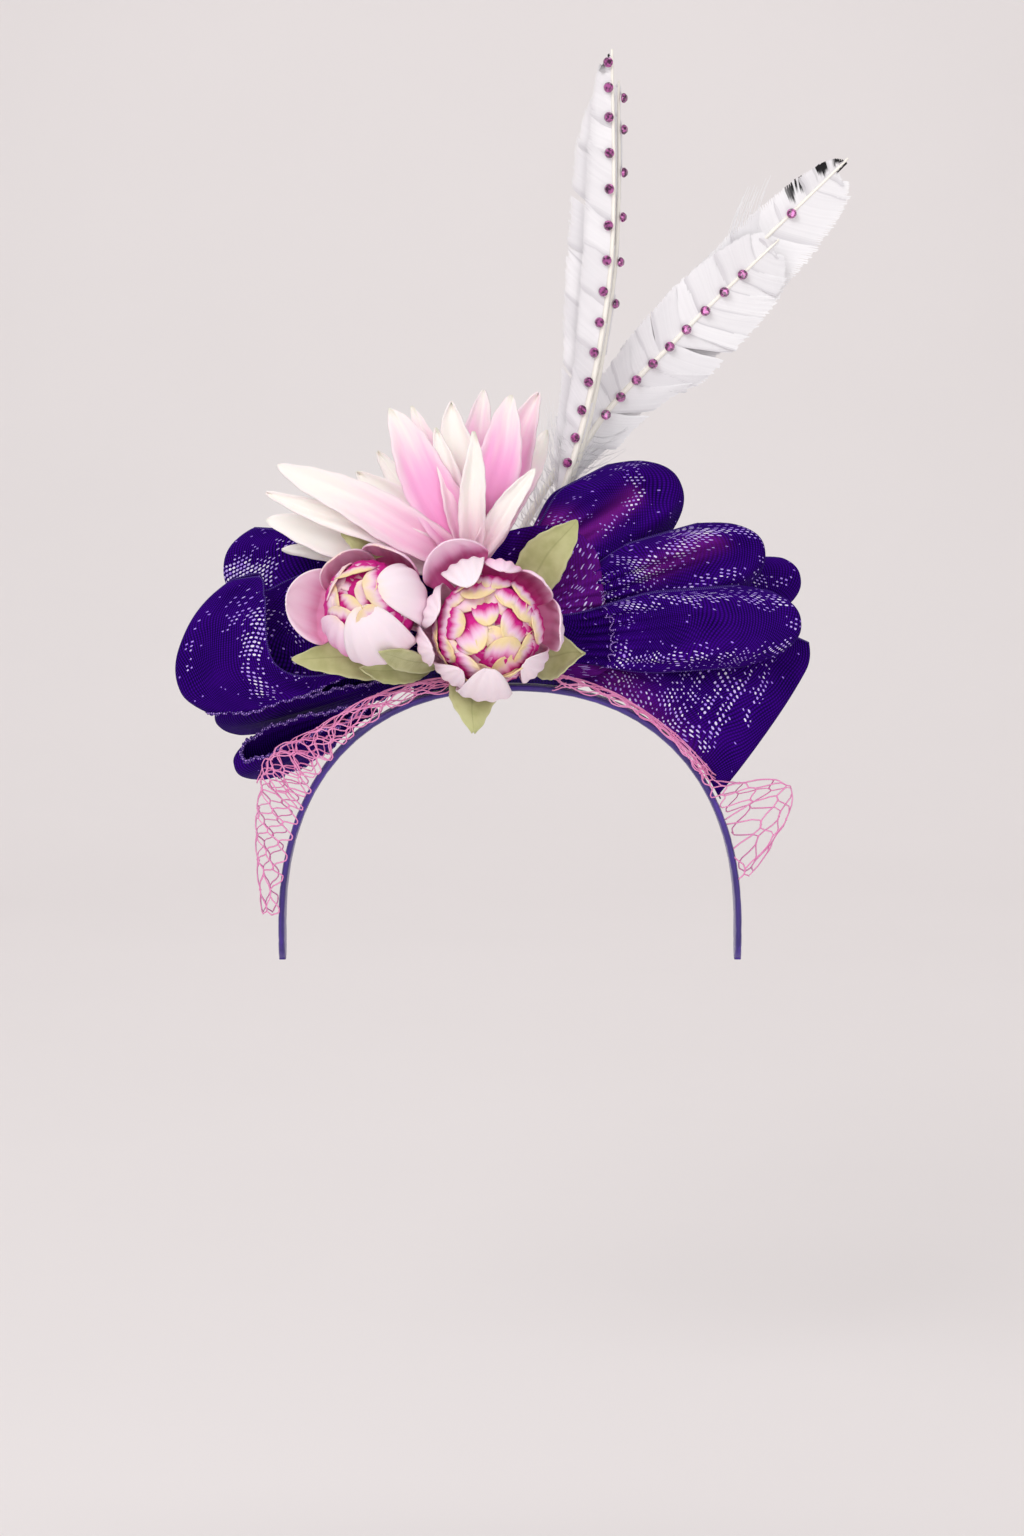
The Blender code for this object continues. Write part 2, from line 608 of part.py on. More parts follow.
def make_stone(name, feather, share, row, material, collection):
    """A flat-backed cut stone with a table and a ring of facets, seated on the quill."""
    left, right, along = vane_ways(feather, share)
    vane = left if row.side < 0 else right
    face = (along.cross(vane) * -row.side).normalized()
    quill = QUILL_RADIUS * mix(1.0, QUILL_TIP_SHARE, share)
    i = min(int(share * QUILL_STEPS), QUILL_STEPS - 1)
    ends = [quill_point(feather, end / QUILL_STEPS) for end in (i, i + 1)]
    seat = mix(ends[0], ends[1], share * QUILL_STEPS - i) + face * (quill + STONE_SEAT) + vane * row.aside
    cut = bmesh.new()
    bmesh.ops.create_cone(
        cut, cap_ends=True, segments=8, radius1=STONE_RADIUS * MM,
        radius2=STONE_RADIUS * STONE_TABLE_SHARE * MM, depth=STONE_HEIGHT * MM,
    )
    turned = face.to_track_quat("Z", "Y").to_matrix().to_4x4()
    bmesh.ops.transform(cut, matrix=turned, verts=cut.verts)
    bmesh.ops.translate(cut, vec=(seat + face * (STONE_HEIGHT / 2.0)) * MM, verts=cut.verts)
    mesh = bpy.data.meshes.new(name)
    cut.to_mesh(mesh)
    cut.free()
    return add_object(name, mesh, material, collection)


def net_rows(side):
    """Rows from the crown to the band's end: turn, and shares of the net's height and its depth's edges."""
    if side < 0:
        return (
            NetRow(-6.0, 0.22, -1.05, -0.44), NetRow(-26.0, 0.50, -1.05, -0.46),
            NetRow(-44.0, 0.80, -1.15, -0.46), NetRow(-56.0, 1.40, -1.30, -0.46),
            NetRow(-66.0, 1.15, -1.10, 0.10), NetRow(-76.0, 0.80, -0.85, 0.80),
            NetRow(-88.0, 0.42, -0.80, 0.80),
        )
    return (
        NetRow(8.0, 0.32, -1.05, -0.44), NetRow(24.0, 0.22, -1.00, -0.46), NetRow(38.0, 0.16, -0.95, -0.50),
        NetRow(50.0, 0.20, -0.95, -0.56), NetRow(60.0, 0.24, -0.95, -0.56), NetRow(70.0, 2.00, -0.85, 0.60),
        NetRow(80.0, 0.34, -0.80, 0.70),
    )


def make_net(name, side, material, collection):
    """A strip of open diamond mesh arched over the band, flaring into a pouf near its end."""
    rows = net_rows(side)
    on_band = BAND_THICKNESS + SEAT_GAP + 1.3 * NET_STRAND
    grid = bmesh.new()
    bmesh.ops.create_grid(grid, x_segments=NET_CELLS, y_segments=2, size=0.5)
    first_edges = list(grid.edges)
    bmesh.ops.poke(grid, faces=grid.faces[:])
    inner = [edge for edge in first_edges if edge.is_valid and len(edge.link_faces) == 2]
    bmesh.ops.dissolve_edges(grid, edges=inner)
    for vertex in grid.verts:
        u, v = vertex.co.x + 0.5, vertex.co.y + 0.5
        turn, bulge, front, back = curve_through(rows, u)
        away = mix(NET_FOOT, on_band, v) + bulge * NET_HEIGHT * math.sin(math.pi * v)
        y = NET_DEPTH * mix(front, back, (1.0 - math.cos(math.pi * v)) / 2.0)
        vertex.co = arch_point(turn, away, y) * MM
    mesh = bpy.data.meshes.new(name)
    grid.to_mesh(mesh)
    grid.free()
    obj = add_object(name, mesh, material, collection)
    wire = obj.modifiers.new("strands", "WIREFRAME")
    wire.thickness = NET_STRAND * MM
    wire.use_even_offset = False
    wire.use_boundary = True
    wire.use_replace = True
    return obj


def main():
    clear_scene()
    parts = new_collection("fascinator")
    satin = new_material("satin", (0.06, 0.01, 0.22), 0.45)
    crin = new_material("crin", (0.10, 0.02, 0.42), 0.35)
    petal = new_material("petal", (0.93, 0.62, 0.78), 0.75)
    leaf_green = new_material("leaf", (0.47, 0.50, 0.27), 0.80)
    feather_white = new_material("feather", (0.90, 0.89, 0.88), 0.65)
    amethyst = new_material("stone", (0.35, 0.06, 0.28), 0.08)
    veiling = new_material("veiling", (0.85, 0.35, 0.58), 0.55)

    make_headband(satin, parts)
    make_pad(satin, parts)
    for loop in bow_loops():
        crin_loop(loop, 13, 4, crin, parts)
    make_lily(petal, parts)
    make_peony("peony_open", peony_centre(), (0.05, -1.0, -0.08), PEONY_RADIUS, open_peony_cups(),
               pad_seat(-0.08, 0.48, 0), petal, parts)
    make_peony("peony_half_open", bud_centre(), (-0.25, -1.0, 0.35), BUD_RADIUS, closed_peony_cups(),
               pad_seat(-0.80, 0.46, 0), petal, parts)
    for leaf in leaves():
        make_leaf(leaf, leaf_green, parts)
    made_feathers = feathers()
    for feather in made_feathers:
        make_feather(feather, feather_white, parts)
    for row in stone_rows():
        for i in range(row.count):
            share = mix(row.start, row.end, i / max(row.count - 1, 1))
            make_stone(f"{row.name}_{i + 1:02d}", made_feathers[row.feather], share, row, amethyst, parts)
    make_net("net_left", -1, veiling, parts)
    make_net("net_right", 1, veiling, parts)


main()
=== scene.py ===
"""The looks of the racing fascinator: crin bows, silk flowers, leaves, jewelled feathers and veiling.

Lengths are in millimetres and turned into metres where a mesh is made. +Z is up, the wearer faces -Y, and
the origin is the crown of the head. Every piece keeps the size and place of the CAD node it stands for.
"""

import json
import math
import random
from collections import namedtuple

import bmesh
import bpy
import numpy as np
from mathutils import Matrix, Vector

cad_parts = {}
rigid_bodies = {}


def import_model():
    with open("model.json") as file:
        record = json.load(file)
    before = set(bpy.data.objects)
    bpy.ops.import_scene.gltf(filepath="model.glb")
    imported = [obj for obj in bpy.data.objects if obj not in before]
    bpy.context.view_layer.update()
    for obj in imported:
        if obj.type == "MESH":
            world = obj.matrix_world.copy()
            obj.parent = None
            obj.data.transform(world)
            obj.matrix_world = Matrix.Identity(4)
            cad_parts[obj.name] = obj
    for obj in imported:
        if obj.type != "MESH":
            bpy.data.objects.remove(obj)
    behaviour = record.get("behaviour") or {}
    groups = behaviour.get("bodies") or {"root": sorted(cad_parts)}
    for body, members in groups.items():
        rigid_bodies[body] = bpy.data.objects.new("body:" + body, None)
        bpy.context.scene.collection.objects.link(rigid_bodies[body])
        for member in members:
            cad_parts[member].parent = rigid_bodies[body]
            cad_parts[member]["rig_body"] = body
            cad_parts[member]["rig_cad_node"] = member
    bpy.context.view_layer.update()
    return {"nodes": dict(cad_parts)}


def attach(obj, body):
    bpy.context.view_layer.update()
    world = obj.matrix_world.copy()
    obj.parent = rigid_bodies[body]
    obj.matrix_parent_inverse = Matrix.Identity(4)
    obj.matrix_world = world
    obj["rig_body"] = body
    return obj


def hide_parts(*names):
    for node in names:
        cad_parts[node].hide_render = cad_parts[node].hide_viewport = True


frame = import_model()

MM = 0.001
BODY = "root"

# Sizes that the CAD part is made from
HEAD_HALF_WIDTH = 79.0
HEAD_RISE = 85.0
HEAD_SQUARENESS = 2.3
BAND_WIDTH = 12.0
BAND_THICKNESS = 2.5
BAND_END_TURN = 100.0
BAND_END_DROP = 10.0
PAD_HALF_WIDTH = 29.0
PAD_HEIGHT = 43.0
PAD_THICKNESS = 3.0
PAD_CENTRE_X = -5.0
SEAT_GAP = 0.3
ROOT_PITCH = 3.0
RIGHT_BOW_REACH = 106.0
LEFT_BOW_REACH = 107.0
BOW_RISE = 70.0
BOW_DEPTH = 24.0
CRIN_WIDTH = 60.0
LOOP_BACK_ARCH = 0.25
LOOP_MOUTH = 1.7
LOOP_BELLY = 1.3
LOOP_CORNER = 2.4
LILY_LENGTH = 76.0
LILY_PETAL_WIDTH = 20.0
LILY_HEART_RADIUS = 6.0
LILY_FORWARD = 9.5
PEONY_RADIUS = 19.0
PEONY_FORWARD = 28.0
BUD_RADIUS = 16.5
BUD_FORWARD = 24.6
STEM_RADIUS = 3.0
LEAF_LENGTH = 46.0
LEAF_WIDTH = 18.0
FEATHER_LENGTH = 200.0
VANE_WIDTH = 17.0
VANE_START = 0.28
QUILL_RADIUS = 1.3
QUILL_TIP = 0.60
QUILL_STEPS = 10
STONE_RADIUS = 1.8
STONE_HEIGHT = 1.5
STONE_SEAT = 0.55
NET_FOOT = 1.7
NET_HEIGHT = 12.0

# Cloth, cords and threads of the looks alone
BRAID_WALL = 0.5
PETAL_CLOTH = 0.6
SCALE_CLOTH = 0.5
LEAF_CLOTH = 0.5
CORD_RADIUS = 0.34
CORD_PITCH = 2.3
CORD_TONES = (1.0, 0.3)
HEM_RADIUS = 0.36
GATHER_REACH = 38.0
GATHER_RISE = 23.0
GATHER_LENGTH = 130.0
HEART_SHARE = 0.93
BARB_SEGMENTS = 7
BARB_HALF_WIDTH = 0.66
BARB_STEP = 0.0032
FLUFF_COUNT = 70
WISP_COUNT = 26

# The photograph's camera: how far off, how high, and the size of a pixel at the origin
CAMERA_DISTANCE = 1150.0
CAMERA_ELEVATION = 5.0
PIXEL = 0.35
PHOTO_HEIGHT = 1536
ORIGIN_UP = 78
ORIGIN_LEFT = 2
FLOOR_Z = -300.0

Loop = namedtuple("Loop", "name root tip root_width tip_width puff arch roll rounding skew lift fill")
# A loop's look: its lights and its warm tints are painted light, glints and a lighter warm violet where light
# falls.
Look = namedtuple(
    "Look", "pleats depth glint folds lights warms lip curl pinch mouth cords",
    defaults=((), (), (), (1.0, 1.0), 0.0, 0.0, 0.0, ()),
)
Streak = namedtuple("Streak", "out_a v_a out_b v_b width amount")
Petal = namedtuple("Petal", "angle length width lean curl fold pink")
Cup = namedtuple("Cup", "azimuth start end radius width flare pink")
Leaf = namedtuple("Leaf", "name root tip width rise facing")
Feather = namedtuple("Feather", "name root low high tip left_turn right_turn left right black")
Row = namedtuple("Row", "feather name count start end side aside")
NetRow = namedtuple("NetRow", "turn height front back")


def smooth(x):
    x = min(max(x, 0.0), 1.0)
    return x * x * (3.0 - 2.0 * x)


def mix(a, b, share):
    return a + (b - a) * share


def bump_at(x, centre, width):
    """A bell of height 1 about centre."""
    return math.exp(-(((x - centre) / width) ** 2))


def curve_through(rows, share):
    """A Catmull-Rom value between rows of numbers, evenly spaced over shares 0 to 1."""
    rows = np.array(rows, float)
    place = min(max(share, 0.0), 1.0) * (len(rows) - 1)
    i = min(int(place), len(rows) - 2)
    t = place - i
    before, a, b = rows[max(i - 1, 0)], rows[i], rows[i + 1]
    after = rows[min(i + 2, len(rows) - 1)]
    bend = 2 * before - 5 * a + 4 * b - after
    return 0.5 * (2 * a + (b - before) * t + bend * t**2 + (3 * (a - b) + after - before) * t**3)


def frame_of(direction, facing):
    """Unit along, side and face vectors: face is as near to facing as the direction allows."""
    along = Vector(direction).normalized()
    face = Vector(facing) - along * along.dot(Vector(facing))
    face.normalize()
    return along, face.cross(along), face


def arch_point(turn, away, y):
    """A point off the head's outline: turn in degrees from the crown, away from the head, at depth y."""
    angle = math.radians(min(max(turn, -90.0), 90.0))
    past = max(abs(turn) - 90.0, 0.0) / (BAND_END_TURN - 90.0)
    power = 2.0 / HEAD_SQUARENESS
    x = math.copysign(abs(math.sin(angle)) ** power, angle) * (HEAD_HALF_WIDTH + away)
    z = abs(math.cos(angle)) ** power * (HEAD_RISE + away) - HEAD_RISE - past * BAND_END_DROP
    return Vector((x, y, z))


def off_the_head(point, away):
    """The point itself, or pushed straight out to a distance from the head if it lies nearer."""
    half, rise = HEAD_HALF_WIDTH + away, HEAD_RISE + away
    height = max(point.z + HEAD_RISE, 0.0)
    level = (abs(point.x) / half) ** HEAD_SQUARENESS + (height / rise) ** HEAD_SQUARENESS
    if level >= 1.0 or level == 0.0:
        return point
    grow = level ** (-1.0 / HEAD_SQUARENESS)
    return Vector((point.x * grow, point.y, height * grow - HEAD_RISE))


def pad_seat(across, up, layer):
    """A place by the pad: shares across and up it, and layers behind (over 0) or before it (under 0)."""
    x = PAD_CENTRE_X + across * PAD_HALF_WIDTH
    z = BAND_THICKNESS + SEAT_GAP + up * PAD_HEIGHT
    if layer == 0:
        return Vector((x, 0.0, z))
    first = PAD_THICKNESS / 2.0 + SEAT_GAP + 1.0 + SEAT_GAP / 2.0
    return Vector((x, math.copysign(first + (abs(layer) - 1) * ROOT_PITCH, layer), z))


# Node materials


class Nodes:
    """A short way to write a node material: every method adds a node and gives its output."""

    def __init__(self, name, roughness, specular=0.5):
        self.material = bpy.data.materials.new(name)
        self.material.use_nodes = True
        self.tree = self.material.node_tree
        self.shader = self.tree.nodes["Principled BSDF"]
        self.shader.inputs["Roughness"].default_value = roughness
        self.shader.inputs["Specular IOR Level"].default_value = specular

    def add(self, kind, inputs, output=0, **settings):
        node = self.tree.nodes.new("ShaderNode" + kind)
        for key, value in settings.items():
            setattr(node, key, value)
        for key, value in inputs.items():
            self.put(node.inputs[key], value)
        return node.outputs[output]

    def put(self, socket, value):
        if isinstance(value, bpy.types.NodeSocket):
            self.tree.links.new(value, socket)
        else:
            socket.default_value = value

    def paint(self, channel):
        """One channel, R, G or B, of the colours painted on the mesh's points."""
        colour = self.add("Attribute", {}, "Color", attribute_name="paint")
        return self.add("SeparateColor", {0: colour}, "RGB".index(channel))

    def weave(self):
        """Millimetres along and across the cloth."""
        return self.add("UVMap", {}, uv_map="weave")

    def place(self):
        return self.add("TexCoord", {}, "Object")

    def scaled(self, vector, scale):
        return self.add("Mapping", {"Vector": vector, "Scale": scale})

    def turned(self, vector, degrees):
        return self.add("Mapping", {"Vector": vector, "Rotation": (0.0, 0.0, math.radians(degrees))})

    def dashes(self, vector, long, wide, slant):
        """Staggered slanted cells of long by wide mm: how far off a cell's middle, and a cell's chance."""
        x, y = (self.add("SeparateXYZ", {0: vector}, axis) for axis in (0, 1))
        y = self.math("DIVIDE", y, wide)
        row = self.math("FLOOR", y)
        x = self.times_plus(row, 0.5, self.math("DIVIDE", x, long))
        cell = self.math("FLOOR", x)
        up = self.less(self.less(y, row), 0.5)
        left = self.less(self.less(x, cell), 0.5)
        left = self.times_plus(up, slant, left)
        off = self.add("CombineXYZ", {0: left, 1: self.times(up, 1.3)})
        off = self.add("VectorMath", {0: off}, 1, operation="LENGTH")
        whole = self.add("CombineXYZ", {0: cell, 1: row})
        return off, self.add("TexWhiteNoise", {"Vector": whole}, 0, noise_dimensions="2D")

    def math(self, operation, a, b=0.0, c=0.0):
        return self.add("Math", {0: a, 1: b, 2: c}, operation=operation)

    def times(self, a, b):
        return self.math("MULTIPLY", a, b)

    def less(self, a, b):
        """a less b."""
        return self.math("SUBTRACT", a, b)

    def times_plus(self, a, b, c):
        return self.math("MULTIPLY_ADD", a, b, c)

    def step(self, value, low, high):
        """0 below low, 1 above high, smooth in between."""
        return self.add("MapRange", {"Value": value, "From Min": low, "From Max": high},
                        interpolation_type="SMOOTHSTEP")

    def noise(self, vector, scale, detail=3.0):
        return self.add("TexNoise", {"Vector": vector, "Scale": scale, "Detail": detail})

    def waves(self, vector, scale, distortion=0.0, along="X"):
        return self.add("TexWave", {"Vector": vector, "Scale": scale, "Distortion": distortion}, 1,
                        bands_direction=along)

    def blend(self, share, a, b):
        return self.add("Mix", {0: share, 6: a, 7: b}, 2, data_type="RGBA")

    def bump(self, height, strength, distance):
        return self.add("Bump", {"Height": height, "Strength": strength, "Distance": distance * MM})

    def finish(self, **sockets):
        for name, value in sockets.items():
            self.put(self.shader.inputs[name.replace("_", " ")], value)
        return self.material


def rgb(red, green, blue):
    """A colour from its display values, 0 to 255."""
    return (*[((part / 255.0 + 0.055) / 1.055) ** 2.4 for part in (red, green, blue)], 1.0)


def crin_material():
    """Woven nylon braid: fine ribs and threads, painted dashes of light in rows where the folds turn, and
    painted warm light where the paint's B channel says light falls.
    """
    n = Nodes("crin", 0.65, 0.02)
    weave = n.weave()
    sway = n.add("TexNoise", {"Vector": weave, "Scale": 0.035, "Detail": 1.0}, 1)
    sway = n.add("VectorMath", {0: sway, 3: 16.0}, operation="SCALE")
    swayed = n.add("VectorMath", {0: weave, 1: sway})
    ribs = n.waves(n.turned(swayed, 18.0), 0.33, 0.5)
    threads = n.waves(n.turned(swayed, -58.0), 0.33, 0.4)
    crossings = n.times(n.times(ribs, threads), 0.75)
    mesh = n.times_plus(ribs, 0.35, crossings)
    off, chance = n.dashes(n.turned(swayed, 32.0), 2.0, 1.45, 0.25)
    patches = n.step(n.noise(n.scaled(weave, (0.11, 0.16, 1.0)), 1.0, 2.0), 0.36, 0.60)
    density = n.times(n.paint("R"), n.times_plus(patches, 0.65, 0.35))
    shown = n.math("LESS_THAN", chance, density)
    size = n.times_plus(n.math("MINIMUM", density, 2.0), 0.09, 0.20)
    glint = n.times(n.math("LESS_THAN", off, size), shown)
    cloudy = n.noise(weave, 0.06)
    deep = n.blend(mesh, rgb(10, 0, 46), rgb(62, 0, 142))
    lit = n.blend(n.times(n.step(cloudy, 0.35, 0.75), 0.30), deep, rgb(66, 2, 140))
    # painted warm light: the B channel lifts the violet towards a lighter magenta where light falls on the
    # folds
    warm_light = n.blend(n.times(n.paint("B"), 0.75), lit, rgb(134, 34, 146))
    tint = n.blend(chance, rgb(168, 128, 236), rgb(244, 236, 254))
    colour = n.blend(glint, warm_light, tint)
    relief = n.bump(n.math("ADD", mesh, glint), 0.30, 0.30)
    return n.finish(Base_Color=colour, Normal=relief)


def selvage_material():
    """The twisted cord along the braid's edges: the paint says how pale each strand is."""
    n = Nodes("crin_selvage", 0.5, 0.1)
    twist = n.waves(n.weave(), 0.45, 0.3)
    pale = n.times(n.paint("R"), n.step(twist, 0.15, 0.85))
    colour = n.blend(pale, rgb(34, 2, 100), rgb(190, 150, 236))
    return n.finish(Base_Color=colour, Normal=n.bump(twist, 0.4, 0.3))


def petal_cloth(n):
    """The fine weave of silk, with creases."""
    weave = n.weave()
    threads = n.math("ADD", n.waves(weave, 0.9, 0.5), n.waves(weave, 0.9, 0.5, "Y"))
    creases = n.noise(n.scaled(weave, (0.03, 0.35, 1.0)), 1.0, 4.0)
    return n.bump(n.times_plus(creases, 5.0, threads), 0.30, 0.40), creases


def creased_along(n, creases):
    """How far up a petal, from its paint, drawn out in streaks by its creases."""
    return n.math("ADD", n.paint("R"), n.times_plus(creases, 0.36, -0.18))


def lily_material():
    """Cream petals that turn pink towards the heart, with grey-green points."""
    n = Nodes("lily_petal", 0.75, 0.2)
    relief, creases = petal_cloth(n)
    along = creased_along(n, creases)
    reached = n.times_plus(n.paint("B"), -0.45, along)
    strength = n.math("MINIMUM", n.times_plus(n.paint("B"), 0.9, 0.1), 1.0)
    pink = n.times(n.less(1.0, n.step(reached, 0.05, 0.62)), strength)
    colour = n.blend(pink, rgb(252, 246, 240), rgb(250, 172, 220))
    foot = n.times(n.less(1.0, n.step(along, 0.05, 0.50)), strength)
    colour = n.blend(n.times(foot, 0.6), colour, rgb(236, 100, 180))
    edge = n.times(n.step(n.paint("G"), 0.55, 1.0), 0.45)
    colour = n.blend(edge, colour, rgb(252, 236, 240))
    colour = n.blend(n.step(along, 0.96, 1.10), colour, rgb(220, 214, 196))
    return n.finish(Base_Color=colour, Normal=relief, Subsurface_Weight=0.06, Subsurface_Scale=0.002)


def peony_material():
    """Blush petals with pale rims and magenta feet. The paint says how far up, how yellow and how pink."""
    n = Nodes("peony_petal", 0.75, 0.2)
    relief, creases = petal_cloth(n)
    along = creased_along(n, creases)
    body = n.blend(n.step(along, 0.35, 0.95), rgb(244, 160, 212), rgb(252, 220, 238))
    body = n.blend(n.paint("B"), rgb(252, 236, 243), body)
    richness = n.math("MAXIMUM", n.less(n.paint("B"), 1.0), 0.0)
    reached = n.times_plus(richness, -0.12, along)
    deep = n.less(1.0, n.step(reached, 0.12, 0.66))
    colour = n.blend(n.times(deep, n.paint("B")), body, rgb(214, 34, 142))
    rim = n.times_plus(n.paint("G"), 0.30, along)
    strength = n.math("MINIMUM", n.times(n.paint("G"), 3.0), 1.0)
    yellow = n.times(n.step(rim, 0.84, 1.14), strength)
    colour = n.blend(yellow, colour, rgb(248, 221, 170))
    return n.finish(Base_Color=colour, Normal=relief, Subsurface_Weight=0.06, Subsurface_Scale=0.002)


def leaf_material():
    """Sage cotton with a pressed rib and side veins, a little paler at its cut edge."""
    n = Nodes("leaf_cloth", 0.85, 0.2)
    weave = n.weave()
    threads = n.math("ADD", n.waves(weave, 0.8, 0.4), n.waves(weave, 0.8, 0.4, "Y"))
    blotches = n.noise(weave, 0.12, 5.0)
    colour = n.blend(n.step(blotches, 0.3, 0.7), rgb(172, 174, 118), rgb(196, 197, 144))
    edge = n.step(n.paint("G"), 0.82, 1.0)
    colour = n.blend(n.times(edge, 0.5), colour, rgb(212, 210, 166))
    vein = n.less(1.0, n.step(n.paint("B"), 0.0, 0.35))
    colour = n.blend(n.times(vein, 0.35), colour, rgb(138, 142, 88))
    height = n.times_plus(vein, -2.0, threads)
    return n.finish(Base_Color=colour, Normal=n.bump(height, 0.3, 0.4), Sheen_Weight=0.25)


def barb_material():
    """White goose barbs, each of its own tone with painted shade where the locks part, that go black where
    they are painted so.
    """
    n = Nodes("feather_barbs", 0.6, 0.25)
    white = n.blend(n.paint("G"), rgb(194, 190, 196), rgb(248, 246, 248))
    colour = n.blend(n.paint("B"), white, rgb(22, 20, 24))
    return n.finish(Base_Color=colour)


def quill_material():
    n = Nodes("feather_quill", 0.35, 0.5)
    tone = n.noise(n.place(), 40.0, 2.0)
    colour = n.blend(tone, rgb(244, 238, 226), rgb(252, 249, 242))
    return n.finish(Base_Color=colour, Normal=n.bump(tone, 0.2, 0.3))


def stone_material():
    """A cut amethyst crystal with a foil back, its sparkle painted on as pale pink highlights in patches over
    dark violet.
    """
    n = Nodes("cut_stone", 0.06, 0.8)
    tone = n.noise(n.place(), 900.0, 1.0)
    # painted highlights: noise patches of pale pink over the dark violet stand in for the facets' sparkle
    colour = n.blend(n.step(tone, 0.35, 0.65), rgb(74, 6, 64), rgb(214, 104, 186))
    return n.finish(Base_Color=colour, Metallic=0.35, Coat_Weight=1.0, Coat_Roughness=0.03,
                    Transmission_Weight=0.25)


def veil_material():
    n = Nodes("veiling_thread", 0.55, 0.4)
    twist = n.waves(n.weave(), 0.8, 0.5)
    tone = n.noise(n.place(), 120.0, 2.0)
    colour = n.blend(n.math("ADD", n.times(tone, 0.8), n.times(twist, 0.3)),
                     rgb(222, 96, 168), rgb(250, 176, 218))
    return n.finish(Base_Color=colour, Normal=n.bump(twist, 0.3, 0.2))


def satin_material():
    """Ribbon satin: fine cross ribs over long soft creases, with painted sheen on the creases' ridges and
    painted shade in their hollows.
    """
    n = Nodes("satin", 0.34, 0.5)
    weave = n.weave()
    ribs = n.waves(weave, 0.9, 0.2, "Y")
    creases = n.noise(n.scaled(weave, (0.05, 0.5, 1.0)), 1.0, 4.0)
    # painted sheen and shade: the colour is lighter where the crease relief is high and darker where it is
    # low
    colour = n.blend(n.step(creases, 0.3, 0.75), rgb(38, 10, 104), rgb(66, 24, 146))
    return n.finish(Base_Color=colour, Normal=n.bump(n.times_plus(creases, 3.0, ribs), 0.25, 0.3),
                    Sheen_Weight=0.3)


def buckram_material():
    """Open stiffened cloth for the pad."""
    n = Nodes("buckram", 0.8, 0.3)
    place = n.scaled(n.place(), (1000.0, 1000.0, 1000.0))
    threads = n.math("MAXIMUM", n.waves(place, 0.28, 0.3), n.waves(place, 0.28, 0.3, "Z"))
    colour = n.blend(threads, rgb(20, 6, 60), rgb(52, 20, 120))
    return n.finish(Base_Color=colour, Normal=n.bump(threads, 0.5, 0.4))


def backdrop_material():
    n = Nodes("backdrop_paper", 0.9, 0.2)
    tone = n.noise(n.place(), 3.0, 4.0)
    colour = n.blend(tone, rgb(232, 226, 226), rgb(236, 230, 230))
    return n.finish(Base_Color=colour)


# Meshes


def new_object(name, mesh, material):
    obj = bpy.data.objects.new(name, mesh)
    bpy.context.scene.collection.objects.link(obj)
    mesh.materials.append(material)
    return obj


def grid_mesh(name, rows):
    """A mesh from rows of (point in mm, weave in mm, paint), all rows of one length."""
    height, width = len(rows), len(rows[0])
    flat = [cell for row in rows for cell in row]
    faces = []
    for j in range(height - 1):
        for i in range(width - 1):
            a = j * width + i
            faces.append((a, a + 1, a + width + 1, a + width))
    return mesh_from(name, flat, faces)


def mesh_from(name, cells, faces):
    mesh = bpy.data.meshes.new(name)
    mesh.from_pydata([cell[0] * MM for cell in cells], [], faces)
    weave = mesh.uv_layers.new(name="weave")
    corners = np.empty(len(mesh.loops), int)
    mesh.loops.foreach_get("vertex_index", corners)
    weave.data.foreach_set("uv", np.array([cell[1] for cell in cells], float)[corners].ravel())
    paint = mesh.color_attributes.new(name="paint", type="FLOAT_COLOR", domain="POINT")
    colours = np.ones((len(cells), 4))
    colours[:, :3] = [cell[2] for cell in cells]
    paint.data.foreach_set("color", colours.ravel())
    mesh.shade_smooth()
    return mesh


def surface(name, steps_u, steps_v, place, paint, wall, material):
    """A grid over u 0 to 1 and v -1 to 1, thickened to a wall. Its weave runs out from the middle line."""
    outs = [i / steps_u for i in range(steps_u + 1)]
    sides = [2.0 * j / steps_v - 1.0 for j in range(steps_v + 1)]
    points = [[place(u, v) for u in outs] for v in sides]
    half = steps_v // 2
    along = [0.0]
    for a, b in zip(points[half], points[half][1:]):
        along.append(along[-1] + (b - a).length)
    across = [[0.0] * (steps_u + 1) for _ in points]
    for i in range(steps_u + 1):
        for j in range(half, steps_v):
            across[j + 1][i] = across[j][i] + (points[j + 1][i] - points[j][i]).length
        for j in range(half, 0, -1):
            across[j - 1][i] = across[j][i] - (points[j][i] - points[j - 1][i]).length
    rows = [[(points[j][i], (along[i], across[j][i]), paint(u, v)) for i, u in enumerate(outs)]
            for j, v in enumerate(sides)]
    obj = new_object(name, grid_mesh(name, rows), material)
    if wall:
        solid = obj.modifiers.new("wall", "SOLIDIFY")
        solid.thickness = wall * MM
        solid.offset = 0.0
    return obj


def tubes(name, lines, sides, material):
    """One mesh of round threads. Each line is (points, radius at a share, paint)."""
    cells, faces = [], []
    for points, radius, paint in lines:
        count = len(points)
        first = len(cells)
        length = 0.0
        normal = Vector((0.31, 0.83, 0.47))
        for i, point in enumerate(points):
            tangent = (points[min(i + 1, count - 1)] - points[max(i - 1, 0)]).normalized()
            normal = (normal - tangent * normal.dot(tangent)).normalized()
            other = tangent.cross(normal)
            if i:
                length += (point - points[i - 1]).length
            thick = radius(i / (count - 1))
            for k in range(sides):
                angle = 2.0 * math.pi * k / sides
                ring = normal * math.cos(angle) + other * math.sin(angle)
                cells.append((point + ring * thick, (length, k * thick), paint))
        for i in range(count - 1):
            for k in range(sides):
                a = first + i * sides + k
                b = first + i * sides + (k + 1) % sides
                faces.append((a, b, b + sides, a + sides))
        faces.append(tuple(first + k for k in reversed(range(sides))))
        faces.append(tuple(first + (count - 1) * sides + k for k in range(sides)))
    return new_object(name, mesh_from(name, cells, faces), material)


